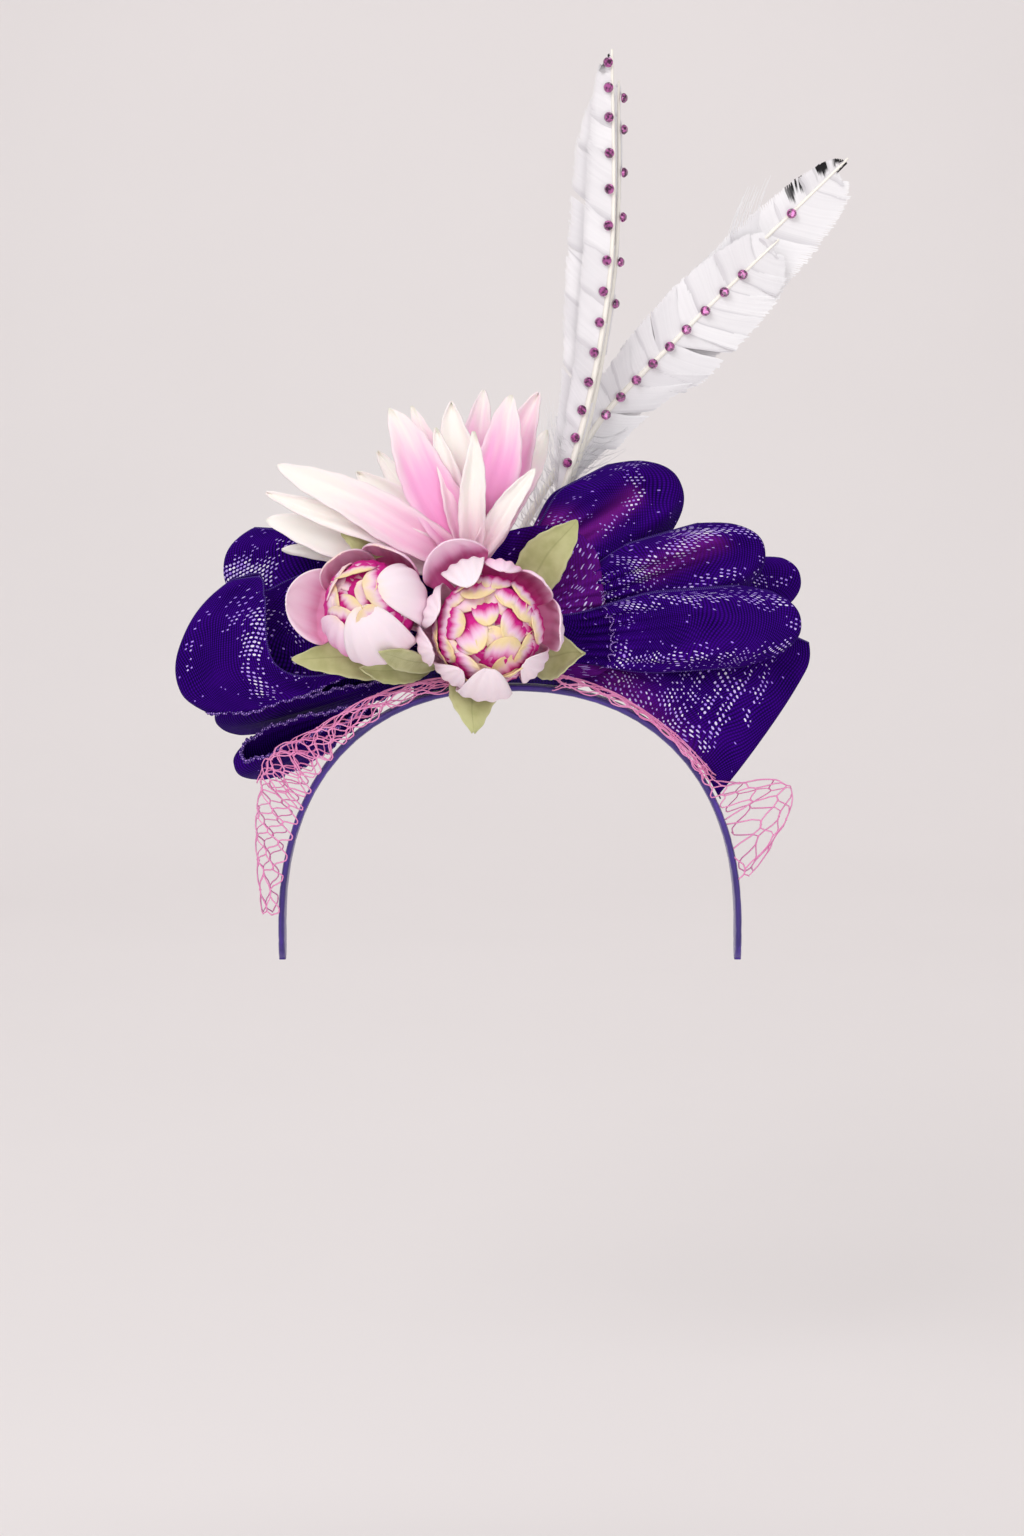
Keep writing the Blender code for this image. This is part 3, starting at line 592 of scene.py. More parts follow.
def joined(name, parts):
    """One object from several with the same material, modifiers applied."""
    graph = bpy.context.evaluated_depsgraph_get()
    whole = bmesh.new()
    for part in parts:
        mesh = bpy.data.meshes.new_from_object(part.evaluated_get(graph))
        whole.from_mesh(mesh)
        bpy.data.meshes.remove(mesh)
    mesh = bpy.data.meshes.new(name)
    whole.to_mesh(mesh)
    whole.free()
    material = parts[0].data.materials[0]
    for part in parts:
        bpy.data.objects.remove(part, do_unlink=True)
    mesh.shade_smooth()
    return new_object(name, mesh, material)


def seat(obj, slot, *nodes):
    """Every piece rides on the one body and may stand for CAD nodes. The slot is not used."""
    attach(obj, BODY)
    for node in nodes:
        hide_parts(node)
    return obj


def cloth_area(obj):
    """One side's area of a piece in square metres."""
    graph = bpy.context.evaluated_depsgraph_get()
    mesh = obj.evaluated_get(graph).to_mesh()
    area = sum(polygon.area for polygon in mesh.polygons) / 2.0
    obj.evaluated_get(graph).to_mesh_clear()
    return area


def declare_sheet(obj, width, length):
    """Works out a piece's flat area from its own, held within a sheet of width by length in mm; nothing is
    declared or kept.
    """
    width, length = max(width, 10.0), max(length, 10.0)
    most = width * length * MM * MM
    area = min(max(cloth_area(obj), 0.3 * most), most)


# Crin bows


def streak_at(streak, out, v, length, half):
    """What a streak adds at a place of a loop: its amount on its own line, less beside it."""
    start = Vector((streak.out_a * length, streak.v_a * half))
    way = Vector((streak.out_b * length, streak.v_b * half)) - start
    off = Vector((out * length, v * half)) - start
    share = min(max(off.dot(way) / max(way.length_squared, 0.01), 0.0), 1.0)
    return streak.amount * bump_at((off - way * share).length, 0.0, streak.width)


def bow_loops():
    """The loops of both bows, as in the CAD part."""

    def tip(side, x, y, z):
        reach = RIGHT_BOW_REACH if side > 0 else LEFT_BOW_REACH
        return Vector((side * x * reach, y * BOW_DEPTH, z * BOW_RISE))

    def on_band(turn, y):
        return arch_point(turn, BAND_THICKNESS + 2.0 * SEAT_GAP + 1.5, y)

    wide = CRIN_WIDTH
    return (
        Loop("loop_right_top", pad_seat(0.44, 0.97, 1), tip(1, 0.57, 1.23, 1.01),
             0.28 * wide, 0.60 * wide, 6.0, 8.0, 0.0, 0.28, 0.03, 0.0, 1.8),
        Loop("loop_right_upper", pad_seat(0.86, 0.60, 1), tip(1, 0.84, 0.20, 0.69),
             0.30 * wide, 0.52 * wide, 6.0, 7.0, 0.0, 0.26, 0.04, 0.0, 1.8),
        Loop("loop_right_middle", pad_seat(0.84, 0.36, -1), tip(1, 0.94, -0.84, 0.36),
             0.28 * wide, 0.46 * wide, 5.5, 5.0, 0.0, 0.20, 0.00, 0.0, 1.8),
        Loop("loop_right_back", pad_seat(0.80, 0.42, 2), tip(1, 0.98, 1.34, 0.54),
             0.20 * wide, 0.34 * wide, 3.5, 2.0, 0.0, 0.10, 0.00, 0.0, 1.4),
        Loop("loop_right_lower", pad_seat(1.05, 0.18, 1), tip(1, 0.83, -0.08, -0.24),
             0.20 * wide, 1.24 * wide, 4.5, 3.0, 0.0, 0.04, 0.11, 0.0, 1.2),
        Loop("loop_left_top", pad_seat(-0.60, 0.80, 1), tip(-1, 0.95, 1.12, 0.60),
             0.24 * wide, 0.60 * wide, 6.0, 5.0, 0.0, 0.20, 0.00, 0.0, 1.5),
        Loop("loop_left_main", pad_seat(-0.98, 0.30, 1), tip(-1, 1.06, -0.28, 0.27),
             0.20 * wide, 0.86 * wide, 6.5, 6.0, 0.0, 0.18, -0.12, 6.0, 1.1),
        Loop("loop_left_lower", pad_seat(-0.96, 0.06, 2), tip(-1, 0.97, 0.98, -0.21),
             0.16 * wide, 0.42 * wide, 5.0, 1.0, -56.0, 0.08, 0.00, 0.0, 1.4),
        Loop("loop_left_foot", on_band(-32.0, 3.0), tip(-1, 0.89, 0.78, -0.455),
             0.14 * wide, 0.40 * wide, 5.0, 1.0, -56.0, 0.08, 0.00, 0.0, 1.4),
    )


def streaks(*rows):
    return tuple(Streak(*row) for row in rows)


def loop_looks():
    """Each loop's folds, where its weave gets painted glints and painted warm light, and the upper edge of
    its front.
    """
    both = (-1.0, 1.0)
    return {
        "loop_right_top": Look(
            6, 1.6, 0.10,
            streaks((0.20, -0.10, 0.80, 0.22, 5.0, -4.6), (0.25, -0.62, 0.85, -0.35, 4.0, 3.0),
             (0.30, 0.55, 0.85, 0.75, 5.0, 2.2)),
            streaks((0.76, 0.52, 0.80, 0.50, 2.4, 1.0), (0.66, 0.05, 0.76, 0.25, 2.4, 1.0),
             (0.45, -0.15, 0.66, 0.10, 2.0, 0.7), (0.70, 0.98, 1.00, 0.70, 1.5, 0.7),
             (0.20, -0.90, 0.80, -0.80, 3.0, 0.6), (0.0, 0.5, 0.22, 0.6, 6.0, 0.9)),
            streaks((0.30, -0.05, 0.70, 0.25, 3.5, 0.9), (0.0, 0.5, 0.22, 0.6, 7.0, 1.0)),
        ),
        "loop_right_upper": Look(
            7, 1.5, 0.14,
            streaks((0.42, 0.06, 0.88, 0.20, 5.0, -5.4), (0.25, 0.62, 0.80, 0.80, 4.5, 2.6),
             (0.30, -0.50, 0.90, -0.42, 4.0, 2.6)),
            streaks((0.42, 0.40, 0.88, 0.80, 4.2, 1.2), (0.80, 0.98, 1.00, 0.55, 2.5, 0.9),
             (0.50, -0.28, 0.95, -0.35, 3.6, 0.75), (0.40, -0.75, 0.80, -0.85, 1.8, 1.1),
             (0.12, 0.20, 0.35, 0.60, 5.0, 0.6), (0.20, -0.30, 0.36, 0.20, 4.0, 0.5)),
            streaks((0.45, 0.30, 0.80, 0.55, 4.0, 0.6),), mouth=0.17,
        ),
        "loop_right_middle": Look(
            7, 1.3, 0.07,
            streaks((0.22, 0.25, 0.60, 0.15, 6.0, -2.4), (0.30, -0.60, 0.95, -0.55, 4.0, 1.8)),
            streaks((0.32, 0.88, 0.97, 0.66, 2.8, 0.95), (0.28, -0.66, 0.95, -0.66, 3.2, 0.95),
             (0.22, -0.20, 0.28, -0.90, 3.0, 0.6), (0.97, 0.40, 0.98, -0.50, 2.0, 0.8),
             (0.24, 0.50, 0.34, 0.80, 3.0, 0.5)),
            mouth=0.20,
        ),
        "loop_right_back": Look(5, 0.6, 0.05, (), streaks((0.72, 0.30, 0.92, 0.05, 2.6, 0.7),)),
        "loop_right_lower": Look(
            8, 0.8, 0.05,
            streaks((0.10, 0.62, 0.85, 0.80, 6.0, -2.5), (0.15, 0.20, 0.90, 0.42, 7.0, 1.6),
             (0.20, -0.30, 0.90, -0.25, 8.0, -1.2)),
            streaks((0.50, 0.50, 0.50, -0.10, 2.0, 0.9), (0.58, 0.66, 0.58, -0.45, 2.0, 1.2),
             (0.66, 0.74, 0.68, -0.45, 2.2, 1.4), (0.74, 0.78, 0.78, -0.30, 2.2, 1.4),
             (0.82, 0.80, 0.88, 0.05, 1.8, 1.1), (0.20, -0.20, 0.50, -0.80, 6.0, 0.55),
             (0.30, 0.10, 0.70, -0.65, 9.0, 0.60)),
            streaks((0.20, -0.45, 0.65, -0.60, 9.0, 0.6),),
        ),
        "loop_left_top": Look(
            5, 1.0, 0.06, streaks((0.50, 0.00, 0.90, 0.10, 6.0, -2.0),),
            streaks((0.76, 0.45, 0.78, -0.05, 4.2, 0.9), (0.94, -0.20, 0.86, -0.12, 5.0, 4.5)),
            lip=(0.8, 0.8),
        ),
        "loop_left_main": Look(
            8, 0.8, 0.04,
            streaks((0.90, 0.60, 0.88, -0.50, 3.0, -1.6), (0.70, 0.50, 0.60, -0.60, 5.0, 1.4)),
            streaks((0.80, 0.50, 0.70, 0.12, 5.5, 1.2), (0.70, 0.10, 0.66, -0.80, 4.0, 1.3),
             (0.97, 0.30, 0.95, -0.40, 1.5, 0.6), (0.62, 0.85, 0.55, 0.10, 3.0, 0.8),
             (0.50, 0.10, 0.50, -0.70, 3.5, 0.7)),
            lip=(-0.8, -0.8, -0.8, -0.8, -0.78, -0.66, -0.34, 0.34, 0.72, 0.86, 0.80),
            curl=3.2, cords=(-1.0,),
        ),
        "loop_left_lower": Look(5, 0.5, 0.02, pinch=0.75, cords=both),
        "loop_left_foot": Look(5, 0.5, 0.02, pinch=0.75, cords=both),
    }


def loop_spot(look, u, v):
    """How far out a loop's point lies, how much it is of the front, and its place across the braid."""
    out = (1.0 - math.cos(2.0 * math.pi * u)) / 2.0
    front = 1.0 - smooth(2.0 * u - 0.5)
    edge = mix(1.0, curve_through(look.lip, out), max(front, smooth((out - 0.66) / 0.12)))
    return out, front, mix(-1.0, edge, (v + 1.0) / 2.0), edge


def half_width(loop, out):
    return mix(loop.root_width, loop.tip_width, smooth(out * loop.fill)) / 2.0


def loop_place(loop, look, phase):
    """place(u, v) in mm of a loop with its folds; u runs out along the front and back along the back."""
    along, side, face = frame_of(loop.tip - loop.root, (0.0, -1.0, 0.0))
    if side.z < 0:
        side = -side
    turn = Matrix.Rotation(math.radians(loop.roll), 3, along)
    side, face = turn @ side, turn @ face
    length = (loop.tip - loop.root).length
    half_gap = 0.5 + SEAT_GAP / 2.0

    def place(u, v):
        out, front, v, edge = loop_spot(look, u, v)
        half = half_width(loop, out)
        opened = smooth(out * LOOP_MOUTH)
        swing = math.sin(2.0 * math.pi * u)
        apart = half_gap * (1.0 - out) + LOOP_BELLY * loop.puff * abs(swing) ** 0.8 * out**0.6
        apart *= 1.0 - look.pinch * smooth((0.6 - v) / 1.4) * opened
        corner = 0.05 * max((abs(v) - 0.75) / 0.25, 0.0) ** 2
        reach = length * out * (1.0 - loop.rounding * abs(v) ** LOOP_CORNER - corner + loop.skew * v)
        hollow = loop.arch * v * v * opened * mix(1.0, LOOP_BACK_ARCH, 1.0 - front)
        raised = loop.lift * smooth(2.0 * u - 1.0)
        gather = (1.0 - out) ** 1.6 * smooth(out * 7.0)
        pleat = look.depth * gather * math.sin(math.pi * look.pleats * v + phase + 1.5 * out)
        pleat += 0.22 * math.sin(8.0 * out + 3.0 * v + phase) * opened
        folds = sum(streak_at(fold, out, v, length, half) for fold in look.folds) * front * opened
        if look.mouth:
            past = (out - look.mouth) * length / 1.4
            folds += 2.6 * smooth(past) * (1.0 - smooth((out - look.mouth) / 0.45)) * front
        curl = look.curl * front * smooth((v - edge + 0.35) / 0.35) * opened
        lifted = math.copysign(apart, 0.5 - u) - hollow + pleat * math.copysign(1.0, 0.5 - u) + folds + curl
        point = loop.root + along * reach + side * (v * half + raised) + face * lifted
        return off_the_head(point, BAND_THICKNESS + SEAT_GAP + 1.0)

    return place


def twisted(path, radius, pitch):
    """Two strands wound round each other along a path."""
    strands = ([], [])
    length = 0.0
    normal = Vector((0.31, 0.83, 0.47))
    for i, point in enumerate(path):
        tangent = (path[min(i + 1, len(path) - 1)] - path[max(i - 1, 0)]).normalized()
        normal = (normal - tangent * normal.dot(tangent)).normalized()
        length += (point - path[max(i - 1, 0)]).length
        for k, strand in enumerate(strands):
            angle = 2.0 * math.pi * length / pitch + math.pi * k
            ring = normal * math.cos(angle) + tangent.cross(normal) * math.sin(angle)
            strand.append(point + ring * radius)
    return [(strand, lambda share: radius, (tone, 0.0, 0.0)) for strand, tone in zip(strands, CORD_TONES)]


def make_loop(loop, look, phase, crin, selvage):
    place = loop_place(loop, look, phase)
    length = (loop.tip - loop.root).length

    def paint(u, v):
        out, front, v, _ = loop_spot(look, u, v)
        half = half_width(loop, out)
        # painted light: the glint density and the warm light along the listed streaks
        glint, warm_light = (sum(streak_at(streak, out, v, length, half) for streak in rows)
                       for rows in (look.lights, look.warms))
        return look.glint + glint, 0.0, min(warm_light, 1.0)

    piece = surface(loop.name + "_braid", 140, 48, place, paint, BRAID_WALL, crin)
    seat(piece, "crin", loop.name)
    lines = []
    for v in (-1.0, 1.0):
        if v in look.cords:
            path = []
            for i in range(521):
                wavy = 0.4 * math.sin(0.5 * i) + 0.5 * math.sin(0.13 * i)
                path.append(place(i / 520, v) + Vector((0.0, 0.0, wavy)))
            lines += twisted(path, CORD_RADIUS, CORD_PITCH)
        else:
            path = [place(i / 160, v) for i in range(161)]
            lines.append((path, lambda share: HEM_RADIUS, (0.12, 0.0, 0.0)))
    if look.mouth:
        turned = math.acos(1.0 - 2.0 * (look.mouth + 1.6 / length)) / (2.0 * math.pi)
        path = []
        for i in range(241):
            share = i / 240
            curly = Vector((1.1 * math.sin(34.0 * share), -0.5, 0.9 * math.cos(29.0 * share)))
            path.append(place(turned, mix(0.96, -0.96, share)) + curly)
        lines.append((path, lambda share: 0.20, (1.0, 0.0, 0.0)))
    seat(tubes(loop.name + "_selvage", lines, 5, selvage), "crin")
    ribbon = sum((place(i / 60, 0.0) - place((i + 1) / 60, 0.0)).length for i in range(60))
    declare_sheet(piece, max(loop.tip_width, loop.root_width), ribbon)


def make_gather(crin):
    """Crin gathered behind the flowers, where the loops' roots meet."""
    middle = pad_seat(0.0, 0.58, 0) + Vector((0.0, -(PAD_THICKNESS / 2.0 + SEAT_GAP + 0.8), 0.0))

    def place(u, v):
        angle = math.radians(mix(-58.0, 238.0, (v + 1.0) / 2.0))
        reach = 1.0 + 0.42 * bump_at(angle, 1.08, 0.5) + 0.35 * bump_at(angle, -0.75, 0.35)
        pleat = 0.7 * math.sin(34.0 * angle) * smooth(u * 2.0)
        out = Vector((GATHER_REACH * math.cos(angle), 0.0, GATHER_RISE * math.sin(angle)))
        return middle + out * (mix(0.12, 1.0, u) * reach) + Vector((0.0, pleat, 0.0))

    def paint(u, v):
        # painted glints and painted warm light, strongest on the right-hand side of the gather
        right = smooth(-v / 0.4)
        return 0.15 + 0.6 * right * smooth(u * 2.0 - 0.6), 0.0, 0.5 * right

    piece = seat(surface("gathered_crin", 30, 200, place, paint, 0.4, crin), "crin")
    declare_sheet(piece, GATHER_REACH, GATHER_LENGTH)


# Flowers and leaves


def blade_place(root, tip, width, facing, curl, fold, start, blunt, ruffle, pleats, phase):
    """place(u, v) of a petal or leaf, with rolled and ruffled edges and pleats along it."""
    along, side, face = frame_of(tip - root, facing)
    length = (tip - root).length

    def place(u, v):
        half = max(width * math.sin(math.pi * mix(start, 1.0, u)) ** blunt, 0.5) / 2.0
        lift = curl * math.sin(math.pi * u) + fold * half * (math.sqrt(v * v + 0.03) - 0.17)
        edge = smooth((abs(v) - 0.6) / 0.4)
        lift += ruffle * edge * math.sin(11.0 * u + 2.0 * v + phase) * math.sin(math.pi * u)
        lift += pleats * math.sin(7.0 * v + 2.0 * phase) * smooth(4.0 * u) * (1.0 - u)
        lift -= 0.10 * width * u * u * (1.0 - v * v) * math.sin(phase)
        sway = 0.06 * width * math.sin(2.6 * math.pi * u + phase) * u
        frayed = 0.02 * width * math.sin(31.0 * u + 3.0 * phase) * math.sin(17.0 * u + phase)
        return root + along * (length * u) + side * (v * (half + frayed) + sway) + face * lift

    return place


def lily_petals():
    """Petals as seen from the front: angle, shares of length and width, lean, curl, fold, and pinkness."""
    return (
        Petal(151.5, 1.00, 0.76, -10.0, 0.07, 0.35, 0.50),
        Petal(160.5, 0.99, 0.50, -3.0, 0.09, 0.50, 0.12),
        Petal(168.5, 0.97, 0.82, 6.0, 0.02, 0.30, 0.08),
        Petal(175.5, 0.90, 0.50, 13.0, 0.02, 0.30, 0.05),
        Petal(141.0, 0.70, 0.60, 14.0, 0.05, 0.30, 0.45),
        Petal(131.0, 0.72, 0.48, 20.0, 0.05, 0.30, 0.30),
        Petal(118.0, 0.81, 0.88, -8.0, 0.06, 0.40, 0.95),
        Petal(110.5, 0.78, 0.46, 9.0, 0.05, 0.60, 1.00),
        Petal(97.0, 0.75, 0.70, 2.0, 0.07, 0.35, 0.25),
        Petal(87.0, 0.86, 0.62, 22.0, 0.06, 0.30, 1.00),
        Petal(89.0, 0.66, 0.46, -22.0, 0.06, 0.60, 0.12),
        Petal(76.0, 0.79, 0.84, 0.0, 0.06, 0.40, 1.05),
        Petal(69.0, 0.86, 0.72, 12.0, -0.06, 0.40, 1.10),
        Petal(58.0, 0.55, 0.42, -16.0, 0.08, 0.60, 0.15),
        Petal(60.0, 0.80, 0.60, 30.0, 0.05, 0.30, 0.70),
        Petal(104.0, 0.66, 0.44, -12.0, 0.05, 0.50, 0.55),
    )


def pad_front(seat_at):
    """Where a stem ends: on the pad's front, straight behind a place on the pad."""
    return Vector((seat_at.x, -(PAD_THICKNESS / 2.0 + SEAT_GAP), seat_at.z))


def make_petal(name, steps, place, paint, material, node, first, width, length):
    """One petal. The first of a flower stands for the flower's CAD node."""
    petal = surface(name, *steps, place, paint, PETAL_CLOTH, material)
    seat(petal, "petal", *([node] if first else []))
    declare_sheet(petal, width, length)


def make_lily(material):
    heart_at = pad_seat(-0.28, 0.96, 0) + Vector((0.0, -LILY_FORWARD, 0.0))
    for i, row in enumerate(lily_petals()):
        angle, lean = math.radians(row.angle), math.radians(row.lean)
        way = Vector((math.cos(angle) * math.cos(lean), math.sin(lean), math.sin(angle) * math.cos(lean)))
        length, width = row.length * LILY_LENGTH, row.width * LILY_PETAL_WIDTH
        place = blade_place(
            heart_at + way * (LILY_HEART_RADIUS * 0.5), heart_at + way * length, width,
            (0.0, -1.0, 0.15), row.curl * length, row.fold, 0.14, 0.62, 1.0, 0.9, 1.7 * i,
        )

        def paint(u, v, pink=row.pink):
            return u, abs(v), pink

        make_petal(f"lily_petal_{i + 1:02d}", (40, 16), place, paint, material, "lily", i == 0, width, length)

    def bud(share):
        return 1.0 + LILY_HEART_RADIUS * 0.8 * math.sin(math.pi * mix(0.1, 0.9, share))

    end = pad_front(pad_seat(-0.25, 0.80, 0))
    stem = [curve_through([heart_at, end - Vector((0.0, 4.0, 0.0)), end], i / 12) for i in range(13)]
    core = [heart_at + Vector((0.0, 5.0 * (t - 0.5), 0.0)) for t in (0, 0.2, 0.4, 0.6, 0.8, 1.0)]
    lines = [
        ([Vector(point) for point in stem], lambda share: STEM_RADIUS, (0.5, 0.0, 0.6)),
        (core, bud, (0.3, 0.0, 0.9)),
    ]
    return seat(tubes("lily_heart", lines, 12, material), "petal")


def eased(u):
    """Steps that grow finer towards a petal's tip, so that the tip is round."""
    return math.sin(0.5 * math.pi * u)


def cup_place(centre, facing, radius, cup, ruffle, phase):
    """place(u, v) of a cupped petal that hugs a ball, its rim ruffled."""
    axis = Vector(facing).normalized()
    across = Vector((0.0, 0.0, 1.0)).cross(axis).normalized()
    upward = axis.cross(across)
    azimuth = math.radians(cup.azimuth)
    outward = across * math.cos(azimuth) + upward * math.sin(azimuth)
    sideways = axis.cross(outward)

    def place(u, v):
        u = eased(u)
        polar = math.radians(mix(cup.start, cup.end, u))
        shape = math.sin(math.pi * mix(0.14, 0.994, u)) ** 0.5
        reach = radius * (mix(0.84, cup.radius, smooth(u * 3.0)) + cup.flare * u * u)
        way = outward * math.sin(polar) - axis * math.cos(polar) + sideways * (v * cup.width * shape)
        rim = smooth((u - 0.5) / 0.5) + 0.5 * smooth((abs(v) - 0.6) / 0.4)
        pleats = 0.026 * radius * shape * math.sin(13.0 * v + phase) * smooth(u * 2.0) * (1.0 - 0.6 * u)
        wave = ruffle * rim * shape * math.sin(4.0 * v + phase + 2.0 * u)
        cupping = 1.0 - 0.07 * (v * shape) ** 2 * u
        return centre + way.normalized() * (reach * cupping + pleats + wave)

    return place


def open_peony_cups():
    """Petals round the open bloom, as seen from the front."""
    return (
        Cup(118.0, 52, 92, 1.40, 0.50, 0.36, 0.85), Cup(112.0, 46, 134, 1.30, 0.34, 0.06, 0.05),
        Cup(158.0, 46, 126, 1.18, 0.40, 0.06, 0.20), Cup(194.0, 46, 128, 1.28, 0.34, 0.06, 0.35),
        Cup(228.0, 46, 140, 1.17, 0.34, 0.06, 0.25), Cup(266.0, 46, 156, 1.28, 0.44, 0.03, 0.05),
        Cup(-38.0, 46, 142, 1.17, 0.36, 0.06, 0.20), Cup(2.0, 46, 118, 1.27, 0.40, 0.14, 0.60),
        Cup(42.0, 46, 108, 1.17, 0.36, 0.22, 1.0), Cup(78.0, 50, 118, 1.24, 0.32, 0.06, 0.9),
    )


def closed_peony_cups():
    """Petals wrapped over the half-open bloom, one of them fallen open."""
    return (
        Cup(176.0, 56, 98, 1.38, 0.68, 0.44, 0.55), Cup(128.0, 44, 122, 1.16, 0.62, 0.16, 0.7),
        Cup(76.0, 44, 122, 1.22, 0.60, 0.14, 0.9), Cup(18.0, 44, 158, 1.16, 0.74, 0.00, 0.10),
        Cup(-70.0, 44, 166, 1.19, 0.76, -0.02, 0.08), Cup(-128.0, 44, 146, 1.10, 0.60, 0.04, 0.9),
    )


def heart_scales(rings, chance):
    """Small overlapping petals of a flower's heart, each with its own tilt, length and yellowness."""
    for polar, count, width, flare, yellow in rings:
        for i in range(count):
            azimuth = 360.0 * i / count + 2.0 * polar + chance.uniform(-14.0, 14.0)
            start = polar - 22.0 + chance.uniform(-5.0, 5.0)
            size = chance.uniform(0.8, 1.25)
            spread = flare * chance.uniform(0.5, 1.5)
            cup = Cup(azimuth, start, start + 40.0 * size, 0.99, width * size, spread, 1.0)
            tilt = Vector((chance.uniform(-0.35, 0.35), 0.0, chance.uniform(-0.35, 0.35)))
            yield cup, tilt, yellow * chance.uniform(0.4, 1.1)


def make_peony(name, centre, facing, radius, cups, rings, yellow_rim, heart_pink, seat_at, material, chance):
    for i, cup in enumerate(cups):
        place = cup_place(centre, facing, radius, cup, 0.5, 2.1 * i)

        def paint(u, v, pink=cup.pink, rim=yellow_rim if cup.end > 115 else 0.0):
            return eased(u), rim * smooth(u * 2.0 - 1.0), pink

        turn = math.radians(cup.end - cup.start)
        make_petal(f"{name}_petal_{i + 1:02d}", (30, 26), place, paint, material, name, i == 0,
                   2.0 * cup.width * cup.radius * radius, (turn * cup.radius + cup.flare) * radius)
    scales = []
    for i, (cup, tilt, yellow) in enumerate(heart_scales(rings, chance)):
        place = cup_place(centre, Vector(facing) + tilt, radius, cup, 0.45, 1.3 * i)

        def paint(u, v, yellow=yellow):
            return eased(u) + 0.12 * abs(v), min(yellow, 1.0), heart_pink

        scales.append(surface(f"scale_{i}", 14, 12, place, paint, SCALE_CLOTH, material))
    seat(joined(name + "_scales", scales), "petal")
    axis = Vector(facing).normalized()
    levels = (-1.0, -0.8, -0.5, -0.2, 0.1, 0.4, 0.7, 0.9, 1.0)
    core = [centre + axis * (radius * HEART_SHARE * level) for level in levels]

    def ball(share):
        level = curve_through([[level] for level in levels], share)[0]
        return max(radius * HEART_SHARE * math.sqrt(max(1.0 - level * level, 0.0)), 0.3)

    stalk = [centre + (pad_front(seat_at) - centre) * (i / 12) for i in range(13)]
    lines = [
        (core, ball, (0.15, 0.0, 1.0)),
        (stalk, lambda share: STEM_RADIUS, (0.4, 0.0, 0.6)),
    ]
    return seat(tubes(name + "_heart", lines, 24, material), "petal")


def leaves():
    def on_pad(across, up):
        return pad_seat(across, up, 0) - Vector((0.0, PAD_THICKNESS / 2.0 + SEAT_GAP + 0.6, 0.0))

    bud_top = bud_centre() + Vector((0.30, 0.68, 1.12)) * BUD_RADIUS
    ahead = (0.0, -1.0, 0.0)
    return (
        Leaf("leaf_far_left", on_pad(-0.86, 0.18), (-0.98, -0.34, 0.06), 0.80, 0.02, ahead),
        Leaf("leaf_under_left", on_pad(-0.80, 0.11), (-0.50, -0.44, 0.04), 0.56, 0.06, ahead),
        Leaf("leaf_between", on_pad(-0.60, 0.16), (-0.48, -0.88, 0.155), 0.60, 0.02, (0.6, -0.3, -0.8)),
        Leaf("leaf_bottom", on_pad(-0.20, 0.14), (-0.06, -0.54, -0.46), 0.98, 0.12, ahead),
        Leaf("leaf_right", on_pad(0.36, 0.22), (0.42, -0.44, 0.05), 0.90, 0.05, ahead),
        Leaf("leaf_top_right", on_pad(0.24, 0.66), (0.44, -0.28, 0.64), 0.90, 0.04, ahead),
        Leaf("leaf_top_left", bud_top, (-0.34, -0.08, 0.16), 0.55, 0.03, ahead),
    )


def peony_centre():
    return pad_seat(-0.08, 0.48, 0) + Vector((0.0, -PEONY_FORWARD, 0.0))


def bud_centre():
    return pad_seat(-1.45, 0.64, 0) + Vector((0.0, -BUD_FORWARD, 0.0))


def make_leaf(leaf, material, phase):
    reach = Vector(leaf.tip) * LEAF_LENGTH
    width = leaf.width * LEAF_WIDTH
    place = blade_place(leaf.root, leaf.root + reach, width, leaf.facing, leaf.rise * reach.length,
                        0.22, 0.04, 0.78, 0.7, 0.2, phase)

    def paint(u, v):
        side_vein = abs(((u - 0.35 * abs(v)) * 9.0) % 1.0 - 0.5) * 2.0
        return u, abs(v), min(abs(v) * 4.0, 0.25 + side_vein)

    piece = surface(leaf.name + "_cloth", 60, 28, place, paint, LEAF_CLOTH, material)
    seat(piece, "leaf", leaf.name)
    declare_sheet(piece, width, reach.length)


# Feathers and stones


def feathers():
    def root(across, up):
        return pad_seat(across, up, 0) + Vector((0.0, PAD_THICKNESS / 2.0 + SEAT_GAP + QUILL_RADIUS, 0.0))

    def at(x, y, z):
        return Vector((x, y, z)) * FEATHER_LENGTH

    return (
        Feather("feather_upright_front", root(0.06, 0.50), at(0.105, 0.135, 0.375), at(0.176, 0.110, 0.725),
                at(0.177, 0.075, 1.11), -18.0, 62.0, 0.62, 0.22, 0.5),
        Feather("feather_upright_back", root(-0.12, 0.50), at(0.112, 0.160, 0.375), at(0.184, 0.138, 0.725),
                at(0.190, 0.110, 1.06), -6.0, 68.0, 1.02, 0.20, 0.0),
        Feather("feather_leaning_front", root(0.34, 0.42), at(0.132, 0.216, 0.420), at(0.300, 0.215, 0.615),
                at(0.480, 0.205, 0.790), 6.0, 6.0, 0.80, 1.06, 0.0),
        Feather("feather_leaning_back", root(-0.30, 0.42), at(0.110, 0.230, 0.420), at(0.340, 0.245, 0.675),
                at(0.605, 0.235, 0.935), 4.0, 4.0, 0.60, 1.06, 1.0),
    )


def quill_point(feather, share):
    return Vector(curve_through([feather.root, feather.low, feather.high, feather.tip], share))


def vane_ways(feather, share):
    along = (quill_point(feather, share + 0.01) - quill_point(feather, share - 0.01)).normalized()
    across = Vector((0.0, 1.0, 0.0)).cross(along).normalized()
    left = Matrix.Rotation(math.radians(feather.left_turn), 3, along) @ -across
    right = Matrix.Rotation(math.radians(feather.right_turn), 3, along) @ across
    return left, right, along


def vane_half(share):
    grown = smooth((share - VANE_START) / 0.12)
    swell = mix(0.62, 1.0, smooth((share - 0.36) / 0.32))
    tip = math.sqrt(max(1.0 - max((share - 0.72) / 0.28, 0.0) ** 2, 0.0))
    return grown * swell * tip


